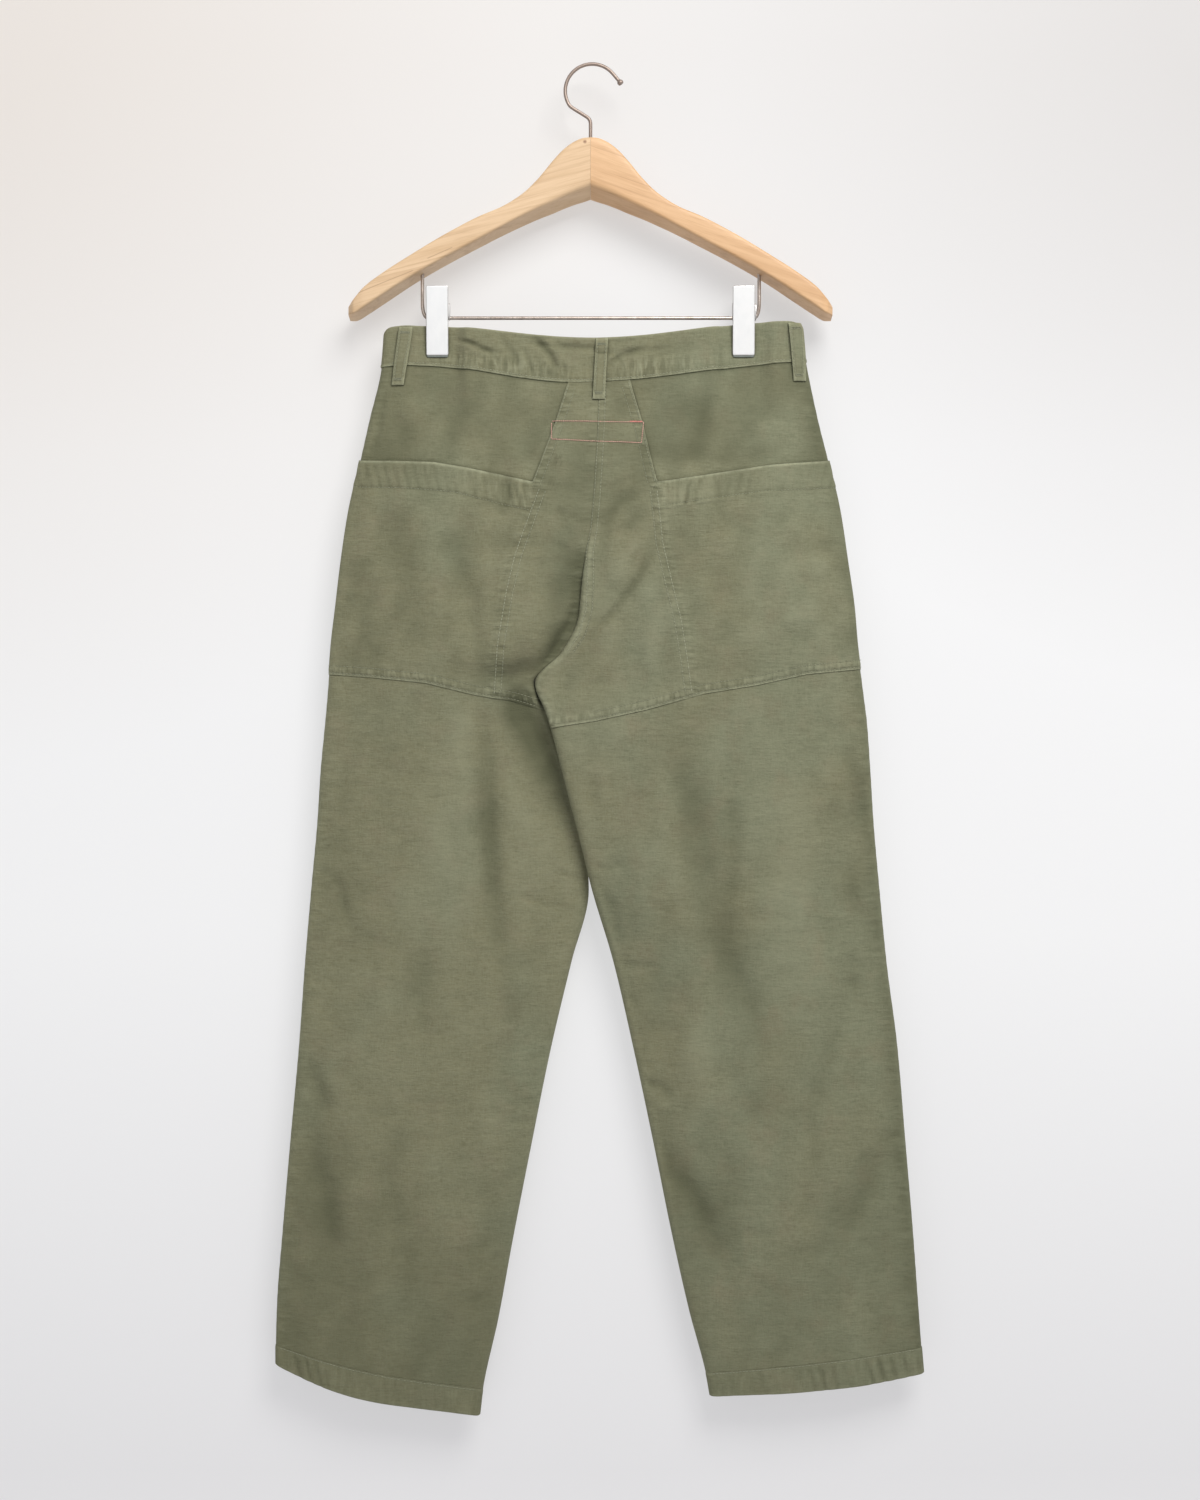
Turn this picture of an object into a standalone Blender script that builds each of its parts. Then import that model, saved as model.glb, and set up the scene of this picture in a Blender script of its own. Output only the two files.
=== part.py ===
"""Climbing trousers hanging by the waist from a wooden clip hanger.

World frame, in millimetres inside this script: +X runs along the hanger, -Y looks at the seat (the
garment's back) and +Z is up. The origin is the inner top of the hook, where a nail or a rail takes
the weight. A "drop" is a distance down from there.

Each half of the garment is a flattened tube worked out from SECTIONS. A point of its cloth is found
from u (0 at the side edge, 1 at the inner edge) and from its level, the drop of the side edge.
"""

import math

import bmesh
import bpy
import numpy as np

MM = 0.001
SEAM = 0.3  # gap kept between two sewn pieces
CLOTH = 2.0  # wall of a leg panel, with its seam turnings averaged in
BAND_CLOTH = 2.6  # waistband and hems: cloth turned double
PATCH_CLOTH = 1.6
POCKET_BAND_CLOTH = 2.2
LOOP_CLOTH = 1.6
EDGE_ROUND = 4.5  # radius of the fold at a side or inner edge, at the middle of the cloth
SWELL = 0.5  # part of the width over which a tube fills out to its full depth
VALLEY = 38.0  # width of the dip where one half tucks behind the other at the seat seam
CENTRE_X = 6.0  # where the centre seams meet the waistband

# One row for each level. drop and x of the side edge and of the inner edge (the centre seam down to
# the crotch, then the inseam); how far the line between them sags near each end; half the depth of
# the hollow; open: 1 where the halves are joined flat, 0 where the leg is closed; cross: how far the
# inner edge stands out of the garment's plane, the right half toward -Y and the left toward +Y.
COLUMNS = (
    "side_drop", "side_x", "inner_drop", "inner_x", "sag_side", "sag_inner", "depth", "open", "cross",
)
SECTIONS = {
    "left": (
        ("waist_top", 241, -190, 252, 6, -7.5, 4, 9, 1.0, 0),
        ("waist_seam", 278, -193, 292, 6, -11.5, 9, 10, 1.0, 0),
        ("label", 326, -204, 333, 5, -3, 3, 13, 1.0, 0),
        ("pocket_top", 366, -213, 378, 2, 0, 0, 17, 1.0, 0),
        ("seat_upper", 410, -223, 418, 0, 0, 0, 20, 1.0, 0),
        ("hip", 456, -230, 462, -7, 0, 0, 21, 0.85, 0),
        ("seat_lower", 498, -235, 507, -16, 0, 0, 21, 0.6, 0),
        ("fork", 532, -239, 541, -34, 0, 0, 20, 0.3, 0),
        ("crotch", 558, -241, 567, -53, 0, 0, 18, 0.0, 0),
        ("patch_foot", 584, -243, 593, -43, 0, 0, 17, 0.0, 6),
        ("thigh_top", 606, -245, 617, -34, 0, 0, 16, 0.0, 8.5),
        ("thigh", 648, -249, 660, -20, 0, 0, 15, 0.0, 9),
        ("thigh_low", 695, -252, 706, -7, 0, 0, 15, 0.0, 9),
        ("fork_end", 750, -257, 758, -3, 0, 0, 15, 0.0, 8),
        ("knee_up", 820, -263, 824, -19, 0, 0, 15, 0.0, 2),
        ("knee", 902, -269, 904, -38, 0, 0, 15, 0.0, 0),
        ("calf", 990, -277, 993, -56, 0, 0, 14, 0.0, 0),
        ("shin", 1072, -284, 1080, -73, 0, 0, 13, 0.0, 0),
        ("ankle", 1137, -289, 1151, -86, 3, 1, 12, 0.0, 0),
        ("hem_seam", 1175, -290, 1215, -100, 6, 3, 11.5, 0.0, 0),
        ("hem_foot", 1193, -290, 1240, -103, 15, 4, 11.5, 0.0, 0),
    ),
    "right": (
        ("waist_top", 237, 190, 252, 6, -4.4, 3.5, 9, 1.0, 0),
        ("waist_seam", 273, 196, 292, 6, -4, 3.5, 10, 1.0, 0),
        ("label", 326, 207, 333, 5, 0, 0, 13, 1.0, 0),
        ("pocket_top", 366, 217, 378, 2, 0, 0, 17, 1.0, 0),
        ("seat_upper", 410, 227, 418, 0, 0, 0, 20, 1.0, 0),
        ("hip", 456, 234, 462, -7, 0, 0, 21, 0.85, 0),
        ("seat_lower", 498, 240, 507, -16, 0, 0, 21, 0.6, 0),
        ("fork", 532, 243, 541, -34, 0, 0, 20, 0.3, 0),
        ("crotch", 556, 246, 567, -53, 0, 0, 18, 0.0, 0),
        ("patch_foot", 580, 249, 593, -43, 0, 0, 17, 0.0, 6),
        ("thigh_top", 604, 252, 617, -36, 0, 0, 16, 0.0, 8.5),
        ("thigh", 646, 255, 660, -25, 0, 0, 15, 0.0, 9),
        ("thigh_low", 695, 258, 706, -13, 0, 0, 15, 0.0, 9),
        ("fork_end", 752, 263, 758, 0, 0, 0, 15, 0.0, 8),
        ("knee_up", 824, 270, 822, 19, 0, 0, 15, 0.0, 2),
        ("knee", 902, 280, 904, 38, 0, 0, 15, 0.0, 0),
        ("calf", 985, 287, 989, 56, 0, 0, 14, 0.0, 0),
        ("shin", 1068, 294, 1073, 73, 0, 0, 13, 0.0, 0),
        ("ankle", 1137, 299, 1144, 89, 0, 0, 12, 0.0, 0),
        ("hem_seam", 1177, 302, 1200, 104, 1, 1, 11.5, 0.0, 0),
        ("hem_foot", 1201, 304, 1222, 108, 5, 2, 11.5, 0.0, 0),
    ),
}

# The largest folds. Each runs from (x0, drop0) to (x1, drop1) on one half; width is how far it
# reaches to each side, height is outward, and a trough is below zero.
FOLDS = (
    # name, side, face, x0, drop0, x1, drop1, width, height
    ("thigh_trough", "left", "back", -102, 610, -97, 705, 15, -4.0),
    ("thigh_trough_foot", "left", "back", -97, 705, -90, 810, 15, -3.5),
    ("thigh_ridge", "left", "back", -116, 620, -110, 760, 13, 2.5),
    ("calf_trough", "left", "back", -266, 925, -240, 1085, 16, -3.5),
    ("knee_drag", "right", "back", 78, 640, 124, 830, 20, -4.0),
    ("shin_trough_out", "right", "back", 262, 1000, 210, 1090, 18, -3.0),
    ("shin_trough_in", "right", "back", 72, 1015, 122, 1090, 18, -3.0),
    ("front_thigh_trough", "left", "front", -120, 600, -110, 800, 18, -3.5),
    ("front_calf_trough", "left", "front", -150, 950, -190, 1090, 18, -3.0),
    ("front_knee_drag", "right", "front", 110, 620, 140, 830, 18, -3.5),
    ("front_shin_trough", "right", "front", 235, 980, 190, 1090, 18, -3.0),
)

# The cloth is nipped flat under each clip, and lets go again below it.
CLIPS = {"left": -142.0, "right": 139.0}
NIP_DEPTH = 1.5  # seam plane to the middle of the nipped cloth
NIP_REACH = 24.0
NIP_FULL, NIP_GONE = 268.0, 345.0  # drops

EDGE_STEPS = (0.0, 1.3, EDGE_ROUND)  # columns of points round a folded edge
PANEL_MIDDLE = (0.08, 0.18, 0.29, 0.40, 0.51, 0.62, 0.735, 0.85, 0.93)
BAND_MIDDLE = (0.06, 0.12, 0.19, 0.25, 0.31, 0.38, 0.47, 0.60, 0.74, 0.88)
PANEL_LEVELS = (
    300, 326, 350, 378, 406, 434, 462, 488, 512, 534, 552, 566, 580, 598, 620,
    650, 685, 720, 755, 790, 830, 880, 930, 980, 1030, 1080, 1120, 1150,
)

# Outlines on the back, as (x, drop) corners. A patch runs past the side edge and the centre seam,
# where its own cloth ends, and its upper end rises to the waistband beside that seam.
OUTLINES = {
    "seat_patch_left": (
        (-260, 387), (-217, 388.3), (-169, 390.3), (-127, 394.3), (-103, 400.3), (-60.3, 410.3),
        (-55, 386), (-35, 331), (-23, 293.5), (-4, 294), (40, 294), (40, 640), (-30, 592),
        (-50, 591), (-76, 584), (-106, 579), (-152, 568), (-201, 563), (-260, 559),
    ),
    "pocket_band_left": (
        (-260, 363.5), (-213, 364), (-177, 365), (-144, 367), (-111, 373), (-86, 378), (-55.4, 385),
        (-60.6, 410), (-103, 400), (-127, 394), (-169, 390), (-217, 388), (-260, 386.7),
    ),
    "seat_patch_right": (
        (260, 388), (222, 389.3), (158, 393.3), (121, 398.3), (64.3, 407.3), (58.8, 385),
        (47, 333), (35, 291.5), (14, 294), (-40, 294), (-90, 640), (-37, 609), (3, 603), (48, 593),
        (102, 578), (151, 570), (196, 560), (260, 553),
    ),
    "pocket_band_right": (
        (260, 364), (217, 364), (158, 370), (102, 379), (59.2, 385), (64.6, 407), (121, 398),
        (158, 393), (222, 389), (260, 387.7),
    ),
}
PATCH_SHORT = {"left": 2, "right": 1}  # columns by which a patch stops before the rolled seam

BELT_LOOP_WIDTH = 11.5
BELT_LOOPS = (
    # name, face, x_top, drop_top, x_foot, drop_foot, the height of what its foot rests on
    ("belt_loop_left", "back", -172, 244, -178, 295, CLOTH / 2),
    ("belt_loop_centre", "back", 9, 253, 6, 309, CLOTH / 2 + SEAM + PATCH_CLOTH),
    ("belt_loop_right", "back", 185, 240, 190, 291, CLOTH / 2),
    ("belt_loop_front_left", "front", -105, 248, -107, 302, CLOTH / 2),
    ("belt_loop_front_right", "front", 105, 246, 108, 300, CLOTH / 2),
)
BELT_LOOP_LIFTS = (0.2, 1.6, 2.2, 2.4, 2.2, 1.6, 0.2)  # a belt's room behind the loop

FLY_WIDTH, FLY_TOP, FLY_FOOT, FLY_CORNER = 38.0, 294.5, 452.0, 30.0
BUTTON_RADIUS, BUTTON_THICK, BUTTON_X, BUTTON_DROP = 8.5, 3.0, -9.0, 272.0

JOINT_X = -1.5  # the two arms meet here, round the hook's stem
ARM = (
    # distance out from the joint, top drop, lower drop, half the thickness
    (0.15, 71, 114, 12.5), (6, 71.5, 116.5, 12.5), (14, 74, 120, 12.5), (24, 81, 124.5, 12.5),
    (34, 91, 129.5, 12.5), (48, 108, 136, 12.5), (62, 121, 143, 12.5), (80, 132.5, 152.5, 12.5),
    (102, 141.5, 164.5, 13), (133, 158.5, 181.5, 14), (164, 177.5, 199, 15.5),
    (190, 194.5, 215, 17), (206, 207.5, 224.5, 17), (216, 219.5, 230.5, 15), (221.5, 226.5, 232.5, 9),
)
ARM_POINTS = 14  # points round one section of an arm
ARM_SQUARE = 4.0  # how nearly a section is a rectangle: 2 is an ellipse

WIRE = 1.65  # radius of the hook's and the clip bar's wire
FIT = 0.3  # clearance round a wire in its hole
HOOK_RADIUS = 24.8
HOOK_END_LENGTH = 12.5
BAR_DROP, BAR_LEFT, BAR_RIGHT, BAR_TOP, BAR_BEND = 232.0, -156.0, 153.5, 183.0, 5.5

PLATE_WIDTH, PLATE_TOP, PLATE_FOOT, PLATE_THICK = 20.4, 204.0, 267.0, 1.2
PLATE_FOOT_Y, PLATE_TOP_Y = 3.6, 9.5  # the inner face of a clip's plate, from the garment's plane
CHEEK_THICK = 1.0
JAW_NARROWER = 3.0  # the rear jaw fits between the front plate's cheeks


def clear_scene():
    for thing in list(bpy.data.objects):
        bpy.data.objects.remove(thing, do_unlink=True)


# ---- numbers -------------------------------------------------------------------------------------


def smooth(at, xs, ys):
    """A curve through the points (xs, ys) that never swings past them."""
    xs, ys = np.array(xs, float), np.array(ys, float)
    step = np.diff(ys) / np.diff(xs)
    agree = step[:-1] * step[1:]
    middle = np.where(agree > 0, 2 * agree / np.where(agree > 0, step[:-1] + step[1:], 1), 0)
    slope = np.concatenate([step[:1], middle, step[-1:]])
    k = np.clip(np.searchsorted(xs, at, "right") - 1, 0, len(xs) - 2)
    gap = xs[k + 1] - xs[k]
    t = (at - xs[k]) / gap
    start = (1 + 2 * t) * (1 - t) ** 2 * ys[k] + t * (1 - t) ** 2 * gap * slope[k]
    end = t * t * (3 - 2 * t) * ys[k + 1] + t * t * (t - 1) * gap * slope[k + 1]
    return start + end


def ease(t):
    """0 below 0, 1 above 1, and smooth between."""
    t = np.clip(t, 0, 1)
    return t * t * (3 - 2 * t)


def mix(a, b, t):
    return a + (b - a) * t


def rolled(distance):
    """Height of a rounded edge, as a part of its radius, at a distance in from the edge."""
    return np.sqrt(np.clip(1 - (1 - np.clip(distance / EDGE_ROUND, 0, 1)) ** 2, 0, 1))


# ---- the cloth's form ----------------------------------------------------------------------------


def section(side, level):
    rows = SECTIONS[side]
    levels = [row[1] for row in rows]
    return {
        name: smooth(level, levels, [row[i + 1] for row in rows]) for i, name in enumerate(COLUMNS)
    }


def level_of(side, name):
    return next(float(row[1]) for row in SECTIONS[side] if row[0] == name)


def inner_edge_x(side, at):
    """The two halves stay a seam apart, and further where one edge is rolled over."""
    one_rolled = np.minimum(1, 5 * (1 - at["open"]))
    both_rolled = 1 - np.minimum(1, 4 * at["open"])
    half_gap = SEAM / 2 + 0.28 * CLOTH * (one_rolled + both_rolled)
    return at["inner_x"] + (-half_gap if side == "left" else half_gap)


def fold_height(side, face, x, drop):
    total = np.zeros(np.broadcast(x, drop).shape)
    for _, fold_side, fold_face, x0, drop0, x1, drop1, width, height in FOLDS:
        if (fold_side, fold_face) != (side, face):
            continue
        along_x, along_drop = x1 - x0, drop1 - drop0
        length = math.hypot(along_x, along_drop)
        t = ((x - x0) * along_x + (drop - drop0) * along_drop) / length**2
        off = ((x - x0) * along_drop - (drop - drop0) * along_x) / length
        fade = ease((t + 0.35) / 0.5) * ease((1.35 - t) / 0.5)
        total = total + height * fade * np.exp(-((off / width) ** 2))
    return total


def hollow_depth(side, face, u, at, width):
    """Seam plane to the middle of the cloth, before folds and clips."""
    from_side, from_inner = u * width, (1 - u) * width
    rise = at["depth"] - EDGE_ROUND
    swell_side = np.sin(math.pi / 2 * np.minimum(1, u / SWELL))
    swell_inner = np.sin(math.pi / 2 * np.minimum(1, (1 - u) / SWELL))
    joined = EDGE_ROUND * rolled(from_side) + rise * swell_side
    closed = EDGE_ROUND * rolled(from_side) * rolled(from_inner) + rise * swell_side * swell_inner
    lies_on_top = (side == "right") == (face == "back")
    if not lies_on_top:
        tucked = joined * ease(from_inner / VALLEY)
        closed = mix(closed, tucked, np.minimum(1, 4 * at["open"]))
    return mix(closed, joined, at["open"])


def cloth(side, face, u, level):
    """The middle of the cloth, as an array of (x, y, z)."""
    at = section(side, level)
    inner_x = inner_edge_x(side, at)
    width = np.abs(inner_x - at["side_x"])
    x = mix(at["side_x"], inner_x, u)
    sag = np.sin(math.pi * u) * mix(at["sag_side"], at["sag_inner"], u)
    drop = mix(at["side_drop"], at["inner_drop"], u) + sag
    depth = hollow_depth(side, face, u, at, width)
    away_from_edges = ease(u * width / 25) * ease((1 - u) * width / 25)
    depth = depth + fold_height(side, face, x, drop) * away_from_edges
    nip = np.exp(-(((x - CLIPS[side]) / NIP_REACH) ** 6)) * ease((NIP_GONE - drop) / (NIP_GONE - NIP_FULL))
    depth = mix(depth, NIP_DEPTH, nip)
    plane = at["cross"] * ease((u - 0.3) / 0.7) * (1 if side == "left" else -1)
    outward = -1 if face == "back" else 1
    return np.stack([x, plane + outward * (SEAM / 2 + depth), -drop], axis=-1)


def outward_normal(side, face, u, level):
    near = 0.0003
    across = cloth(side, face, np.minimum(u + near, 1), level) - cloth(side, face, np.maximum(u - near, 0), level)
    down = cloth(side, face, u, level + 0.5) - cloth(side, face, u, level - 0.5)
    turn = (-1 if side == "left" else 1) * (1 if face == "back" else -1)
    normal = np.cross(across, down) * turn
    return normal / np.linalg.norm(normal, axis=-1, keepdims=True)


def columns(side, levels, middle):
    """u for each level and column, closer together round the folded edges."""
    at = section(side, levels)
    width = np.abs(inner_edge_x(side, at) - at["side_x"])
    edge = np.array(EDGE_STEPS)[:, None] / width
    inside = np.array(middle)[:, None] * np.ones_like(levels)
    return np.concatenate([edge, inside, 1 - edge[::-1]]).T


def find(side, x, drop):
    """u and level of the cloth at (x, drop)."""
    level = np.array(drop, float)
    for _ in range(12):
        at = section(side, level)
        inner_x = inner_edge_x(side, at)
        u = np.clip((x - at["side_x"]) / (inner_x - at["side_x"]), 0, 1)
        level = level + 0.9 * (drop + cloth(side, "back", u, level)[..., 2])
    return u, level


def skin(face, x, drop, height):
    """A point at a height over the middle of the cloth, on whichever half x falls."""
    x, drop = np.broadcast_arrays(np.asarray(x, float), np.asarray(drop, float))
    height = np.broadcast_to(height, x.shape)[..., None]
    found = {}
    for side in ("left", "right"):
        u, level = find(side, x, drop)
        found[side] = cloth(side, face, u, level) + height * outward_normal(side, face, u, level)
    centre = smooth(drop, [row[3] for row in SECTIONS["left"]], [row[4] for row in SECTIONS["left"]])
    return np.where((x < centre)[..., None], found["left"], found["right"])


def walk(x, drop, step):
    """x after a step along the cloth, which rolls round near the side edge."""
    side = "left" if x < CENTRE_X else "right"
    edge_x = smooth(drop, [row[1] for row in SECTIONS[side]], [row[2] for row in SECTIONS[side]])
    inward = 1 if side == "left" else -1
    extra = EDGE_ROUND * (math.pi / 2 - 1)
    distance = (x - edge_x) * inward
    turn = np.arccos(np.clip(1 - distance / EDGE_ROUND, -1, 1))
    arc = np.where(distance < EDGE_ROUND, EDGE_ROUND * turn, distance + extra) + inward * step
    rolled_in = EDGE_ROUND * (1 - np.cos(np.clip(arc / EDGE_ROUND, 0, math.pi / 2)))
    return edge_x + inward * np.where(arc < EDGE_ROUND * math.pi / 2, rolled_in, arc - extra)


# ---- meshes --------------------------------------------------------------------------------------


def add_mesh(name, points, faces):
    """One closed body, with its points in millimetres and its faces turned outward."""
    mesh = bpy.data.meshes.new(name)
    mesh.from_pydata((np.asarray(points, float) * MM).tolist(), [], faces)
    shaped = bmesh.new()
    shaped.from_mesh(mesh)
    bmesh.ops.recalc_face_normals(shaped, faces=shaped.faces)
    shaped.to_mesh(mesh)
    shaped.free()
    made = bpy.data.objects.new(name, mesh)
    bpy.context.scene.collection.objects.link(made)
    return made


def sheet(name, outer, inner):
    """A wall between two grids of points, closed along its four edges."""
    rows, cols = outer.shape[:2]
    count = rows * cols

    def index(i, j, back):
        return i * cols + j + (count if back else 0)

    faces = []
    for i in range(rows - 1):
        for j in range(cols - 1):
            for corners in (((i, j), (i, j + 1), (i + 1, j + 1)), ((i, j), (i + 1, j + 1), (i + 1, j))):
                faces.append([index(a, b, False) for a, b in corners])
                faces.append([index(a, b, True) for a, b in reversed(corners)])
    rim = [(0, j) for j in range(cols)] + [(i, cols - 1) for i in range(1, rows)]
    rim += [(rows - 1, j) for j in range(cols - 2, -1, -1)] + [(i, 0) for i in range(rows - 2, 0, -1)]
    for (a, b), (c, d) in zip(rim, rim[1:] + rim[:1]):
        faces.append([index(a, b, True), index(c, d, True), index(c, d, False), index(a, b, False)])
    return add_mesh(name, np.concatenate([outer.reshape(-1, 3), inner.reshape(-1, 3)]), faces)


def ring(name, outer, inner):
    """A wall between two grids whose last column joins the first, as round a cuff."""
    rows, cols = outer.shape[:2]
    count = rows * cols
    faces = []
    for j in range(cols):
        k = (j + 1) % cols
        for i in range(rows - 1):
            a, b, c, d = i * cols + j, i * cols + k, (i + 1) * cols + k, (i + 1) * cols + j
            faces += [[a, b, c, d], [d + count, c + count, b + count, a + count]]
        foot = (rows - 1) * cols
        faces.append([j, j + count, k + count, k])
        faces.append([foot + j, foot + k, foot + k + count, foot + j + count])
    return add_mesh(name, np.concatenate([outer.reshape(-1, 3), inner.reshape(-1, 3)]), faces)


def boolean(made, cutter, operation):
    modifier = made.modifiers.new("cut", "BOOLEAN")
    modifier.solver = "EXACT"
    modifier.operation = operation
    modifier.object = cutter
    cutter.hide_render = True
    cutter.display_type = "WIRE"
    return made


def box(name, centre, size):
    corners = [
        [centre[k] + size[k] / 2 * sign for k, sign in enumerate(signs)]
        for signs in ((-1, -1, -1), (1, -1, -1), (1, 1, -1), (-1, 1, -1),
                      (-1, -1, 1), (1, -1, 1), (1, 1, 1), (-1, 1, 1))
    ]
    faces = [[0, 3, 2, 1], [4, 5, 6, 7], [0, 1, 5, 4], [1, 2, 6, 5], [2, 3, 7, 6], [3, 0, 4, 7]]
    return add_mesh(name, corners, faces)


def rod(name, start, end, radius, sides=16):
    """A straight round bar between two points."""
    start, end = np.array(start, float), np.array(end, float)
    along = (end - start) / np.linalg.norm(end - start)
    first = np.cross(along, [0, 1, 0] if abs(along[1]) < 0.9 else [1, 0, 0])
    first /= np.linalg.norm(first)
    second = np.cross(along, first)
    turns = [2 * math.pi * k / sides for k in range(sides)]
    circle = [radius * (math.cos(t) * first + math.sin(t) * second) for t in turns]
    points = [start + c for c in circle] + [end + c for c in circle]
    faces = [[k, (k + 1) % sides, (k + 1) % sides + sides, k + sides] for k in range(sides)]
    faces += [list(range(sides)), list(range(sides, 2 * sides))]
    return add_mesh(name, points, faces)


def wire(name, path, radii):
    """A round wire along a path in the plane y = 0."""
    curve = bpy.data.curves.new(name, "CURVE")
    curve.dimensions = "3D"
    curve.bevel_depth = WIRE * MM
    curve.bevel_resolution = 2
    curve.use_fill_caps = True
    spline = curve.splines.new("POLY")
    spline.points.add(len(path) - 1)
    for point, (x, drop), radius in zip(spline.points, path, radii):
        point.co = (x * MM, 0, -drop * MM, 1)
        point.radius = radius
    made = bpy.data.objects.new(name, curve)
    bpy.context.scene.collection.objects.link(made)
    return made


# ---- garment pieces ------------------------------------------------------------------------------


def panel_levels(side):
    top, foot = level_of(side, "waist_seam") + SEAM, level_of(side, "hem_seam") - SEAM
    return np.array([top, *PANEL_LEVELS, foot], float)


def grid(side, face, levels, middle, height):
    u = columns(side, levels, middle)
    level = levels[:, None] * np.ones_like(u)
    return cloth(side, face, u, level) + height * outward_normal(side, face, u, level)


def panel(side, face):
    """One leg panel, from the waistband down to the hem."""
    levels = panel_levels(side)
    outer, inner = (grid(side, face, levels, PANEL_MIDDLE, h) for h in (CLOTH / 2, -CLOTH / 2))
    return sheet(f"{face}_{side}", outer, inner)


def prism(name, outline):
    """The outline as a block along Y that reaches through the garment's back."""
    near, far = -90, 30
    points = [(x, y, -drop) for y in (near, far) for x, drop in outline]
    n = len(outline)
    faces = [[k, (k + 1) % n, (k + 1) % n + n, k + n] for k in range(n)]
    faces += [list(range(n)), list(range(n, 2 * n))]
    return add_mesh(name, points, faces)


def overlay(name, side, gap, thickness):
    """A piece sewn on a back panel: the panel's own points moved out, cut to its outline."""
    levels = panel_levels(side)
    levels = levels[(levels > 255) & (levels < 660)]
    foot = CLOTH / 2 + gap
    kept = slice(0, -PATCH_SHORT[side])
    outer, inner = (
        grid(side, "back", levels, PANEL_MIDDLE, h)[:, kept] for h in (foot + thickness, foot)
    )
    return boolean(sheet(name, outer, inner), prism(name + "_cutter", OUTLINES[name]), "INTERSECT")


def band_levels(side):
    top, foot = level_of(side, "waist_top"), level_of(side, "waist_seam")
    return np.linspace(top, foot, 4)


def waistband_back():
    """One strip from side to side."""
    def half(side, height):
        return grid(side, "back", band_levels(side), BAND_MIDDLE, height)

    walls = [
        np.concatenate([half("left", h), half("right", h)[:, -2::-1]], axis=1)
        for h in (BAND_CLOTH / 2, -BAND_CLOTH / 2)
    ]
    return sheet("waistband_back", *walls)


def waistband_front(side):
    walls = [grid(side, "front", band_levels(side), BAND_MIDDLE, h) for h in (BAND_CLOTH / 2, -BAND_CLOTH / 2)]
    return sheet(f"waistband_front_{side}", *walls)


def hem(side):
    """The turned-up end of a leg, all the way round it."""
    top, foot = level_of(side, "hem_seam"), level_of(side, "hem_foot")
    levels = np.linspace(top, foot, 3)
    walls = []
    for height in (BAND_CLOTH / 2, -BAND_CLOTH / 2):
        back, front = (grid(side, face, levels, PANEL_MIDDLE, height) for face in ("back", "front"))
        walls.append(np.concatenate([back, front[:, ::-1]], axis=1))
    return ring(f"hem_{side}", *walls)


def belt_loop(name, face, x_top, drop_top, x_foot, drop_foot, foot_rest):
    """A strip tacked down at its top and foot, standing off the band between."""
    t = np.linspace(0, 1, len(BELT_LOOP_LIFTS))[:, None]
    across = np.linspace(-0.5, 0.5, 5)[None, :] * BELT_LOOP_WIDTH
    drop = mix(drop_top, drop_foot, t) + 0 * across
    x = np.array([walk(mix(x_top, x_foot, k), row, across[0]) for k, row in zip(t[:, 0], drop)])
    rest = mix(BAND_CLOTH / 2, foot_rest, ease((t - 0.45) / 0.35))
    under = rest + SEAM + np.array(BELT_LOOP_LIFTS)[:, None] + 0 * across
    return sheet(name, skin(face, x, drop, under + LOOP_CLOTH), skin(face, x, drop, under))


def fly_flap():
    """The flap over the zip, on the front, with its rounded lower corner."""
    s = np.linspace(0, 1, 7)[None, :]
    t = np.linspace(0, 1, 8)[:, None]
    x = mix(CENTRE_X - 2, CENTRE_X - FLY_WIDTH, s) - 8 * t
    corner = 1 - np.sqrt(1 - np.clip((s * FLY_WIDTH - (FLY_WIDTH - FLY_CORNER)) / FLY_CORNER, 0, 0.97) ** 2)
    drop = mix(FLY_TOP, FLY_FOOT - FLY_CORNER * corner, t)
    under = CLOTH / 2 + SEAM + 0.2
    return sheet("fly_flap", skin("front", x, drop, under + PATCH_CLOTH), skin("front", x, drop, under))


def waist_button():
    centre = skin("front", BUTTON_X, BUTTON_DROP, BAND_CLOTH / 2 + 0.5)
    away = centre + np.array([0, BUTTON_THICK, 0])
    return rod("waist_button", centre, away, BUTTON_RADIUS, 24)


# ---- hanger --------------------------------------------------------------------------------------


def arm_section(out, top, lower, half_thick, direction):
    """Points round one section of an arm, a rectangle with rounded corners."""
    middle, half_height = (top + lower) / 2, (lower - top) / 2
    points = []
    for k in range(ARM_POINTS):
        turn = 2 * math.pi * (k + 0.5) / ARM_POINTS
        c, s = math.cos(turn), math.sin(turn)
        y = math.copysign(abs(c) ** (2 / ARM_SQUARE), c) * half_thick
        z = math.copysign(abs(s) ** (2 / ARM_SQUARE), s) * half_height
        points.append((JOINT_X + direction * out, y, -middle + z))
    return points


def hanger_arm(side):
    direction = -1 if side == "left" else 1
    loops = [arm_section(*row, direction) for row in ARM]
    n, faces = ARM_POINTS, []
    for i in range(len(loops) - 1):
        for k in range(n):
            m = (k + 1) % n
            faces.append([i * n + k, i * n + m, (i + 1) * n + m, (i + 1) * n + k])
    faces += [list(range(n)), list(range((len(loops) - 1) * n, len(loops) * n))]
    made = add_mesh(f"hanger_arm_{side}", sum(loops, []), faces)
    bar_x = BAR_LEFT if side == "left" else BAR_RIGHT
    hole = rod(f"bar_hole_{side}", (bar_x, 0, -BAR_TOP + 0.5), (bar_x, 0, -215), WIRE + FIT)
    boolean(made, hole, "DIFFERENCE")
    stem = rod(f"stem_hole_{side}", (JOINT_X, 0, -60), (JOINT_X, 0, -101), WIRE + FIT)
    return boolean(made, stem, "DIFFERENCE")


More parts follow.
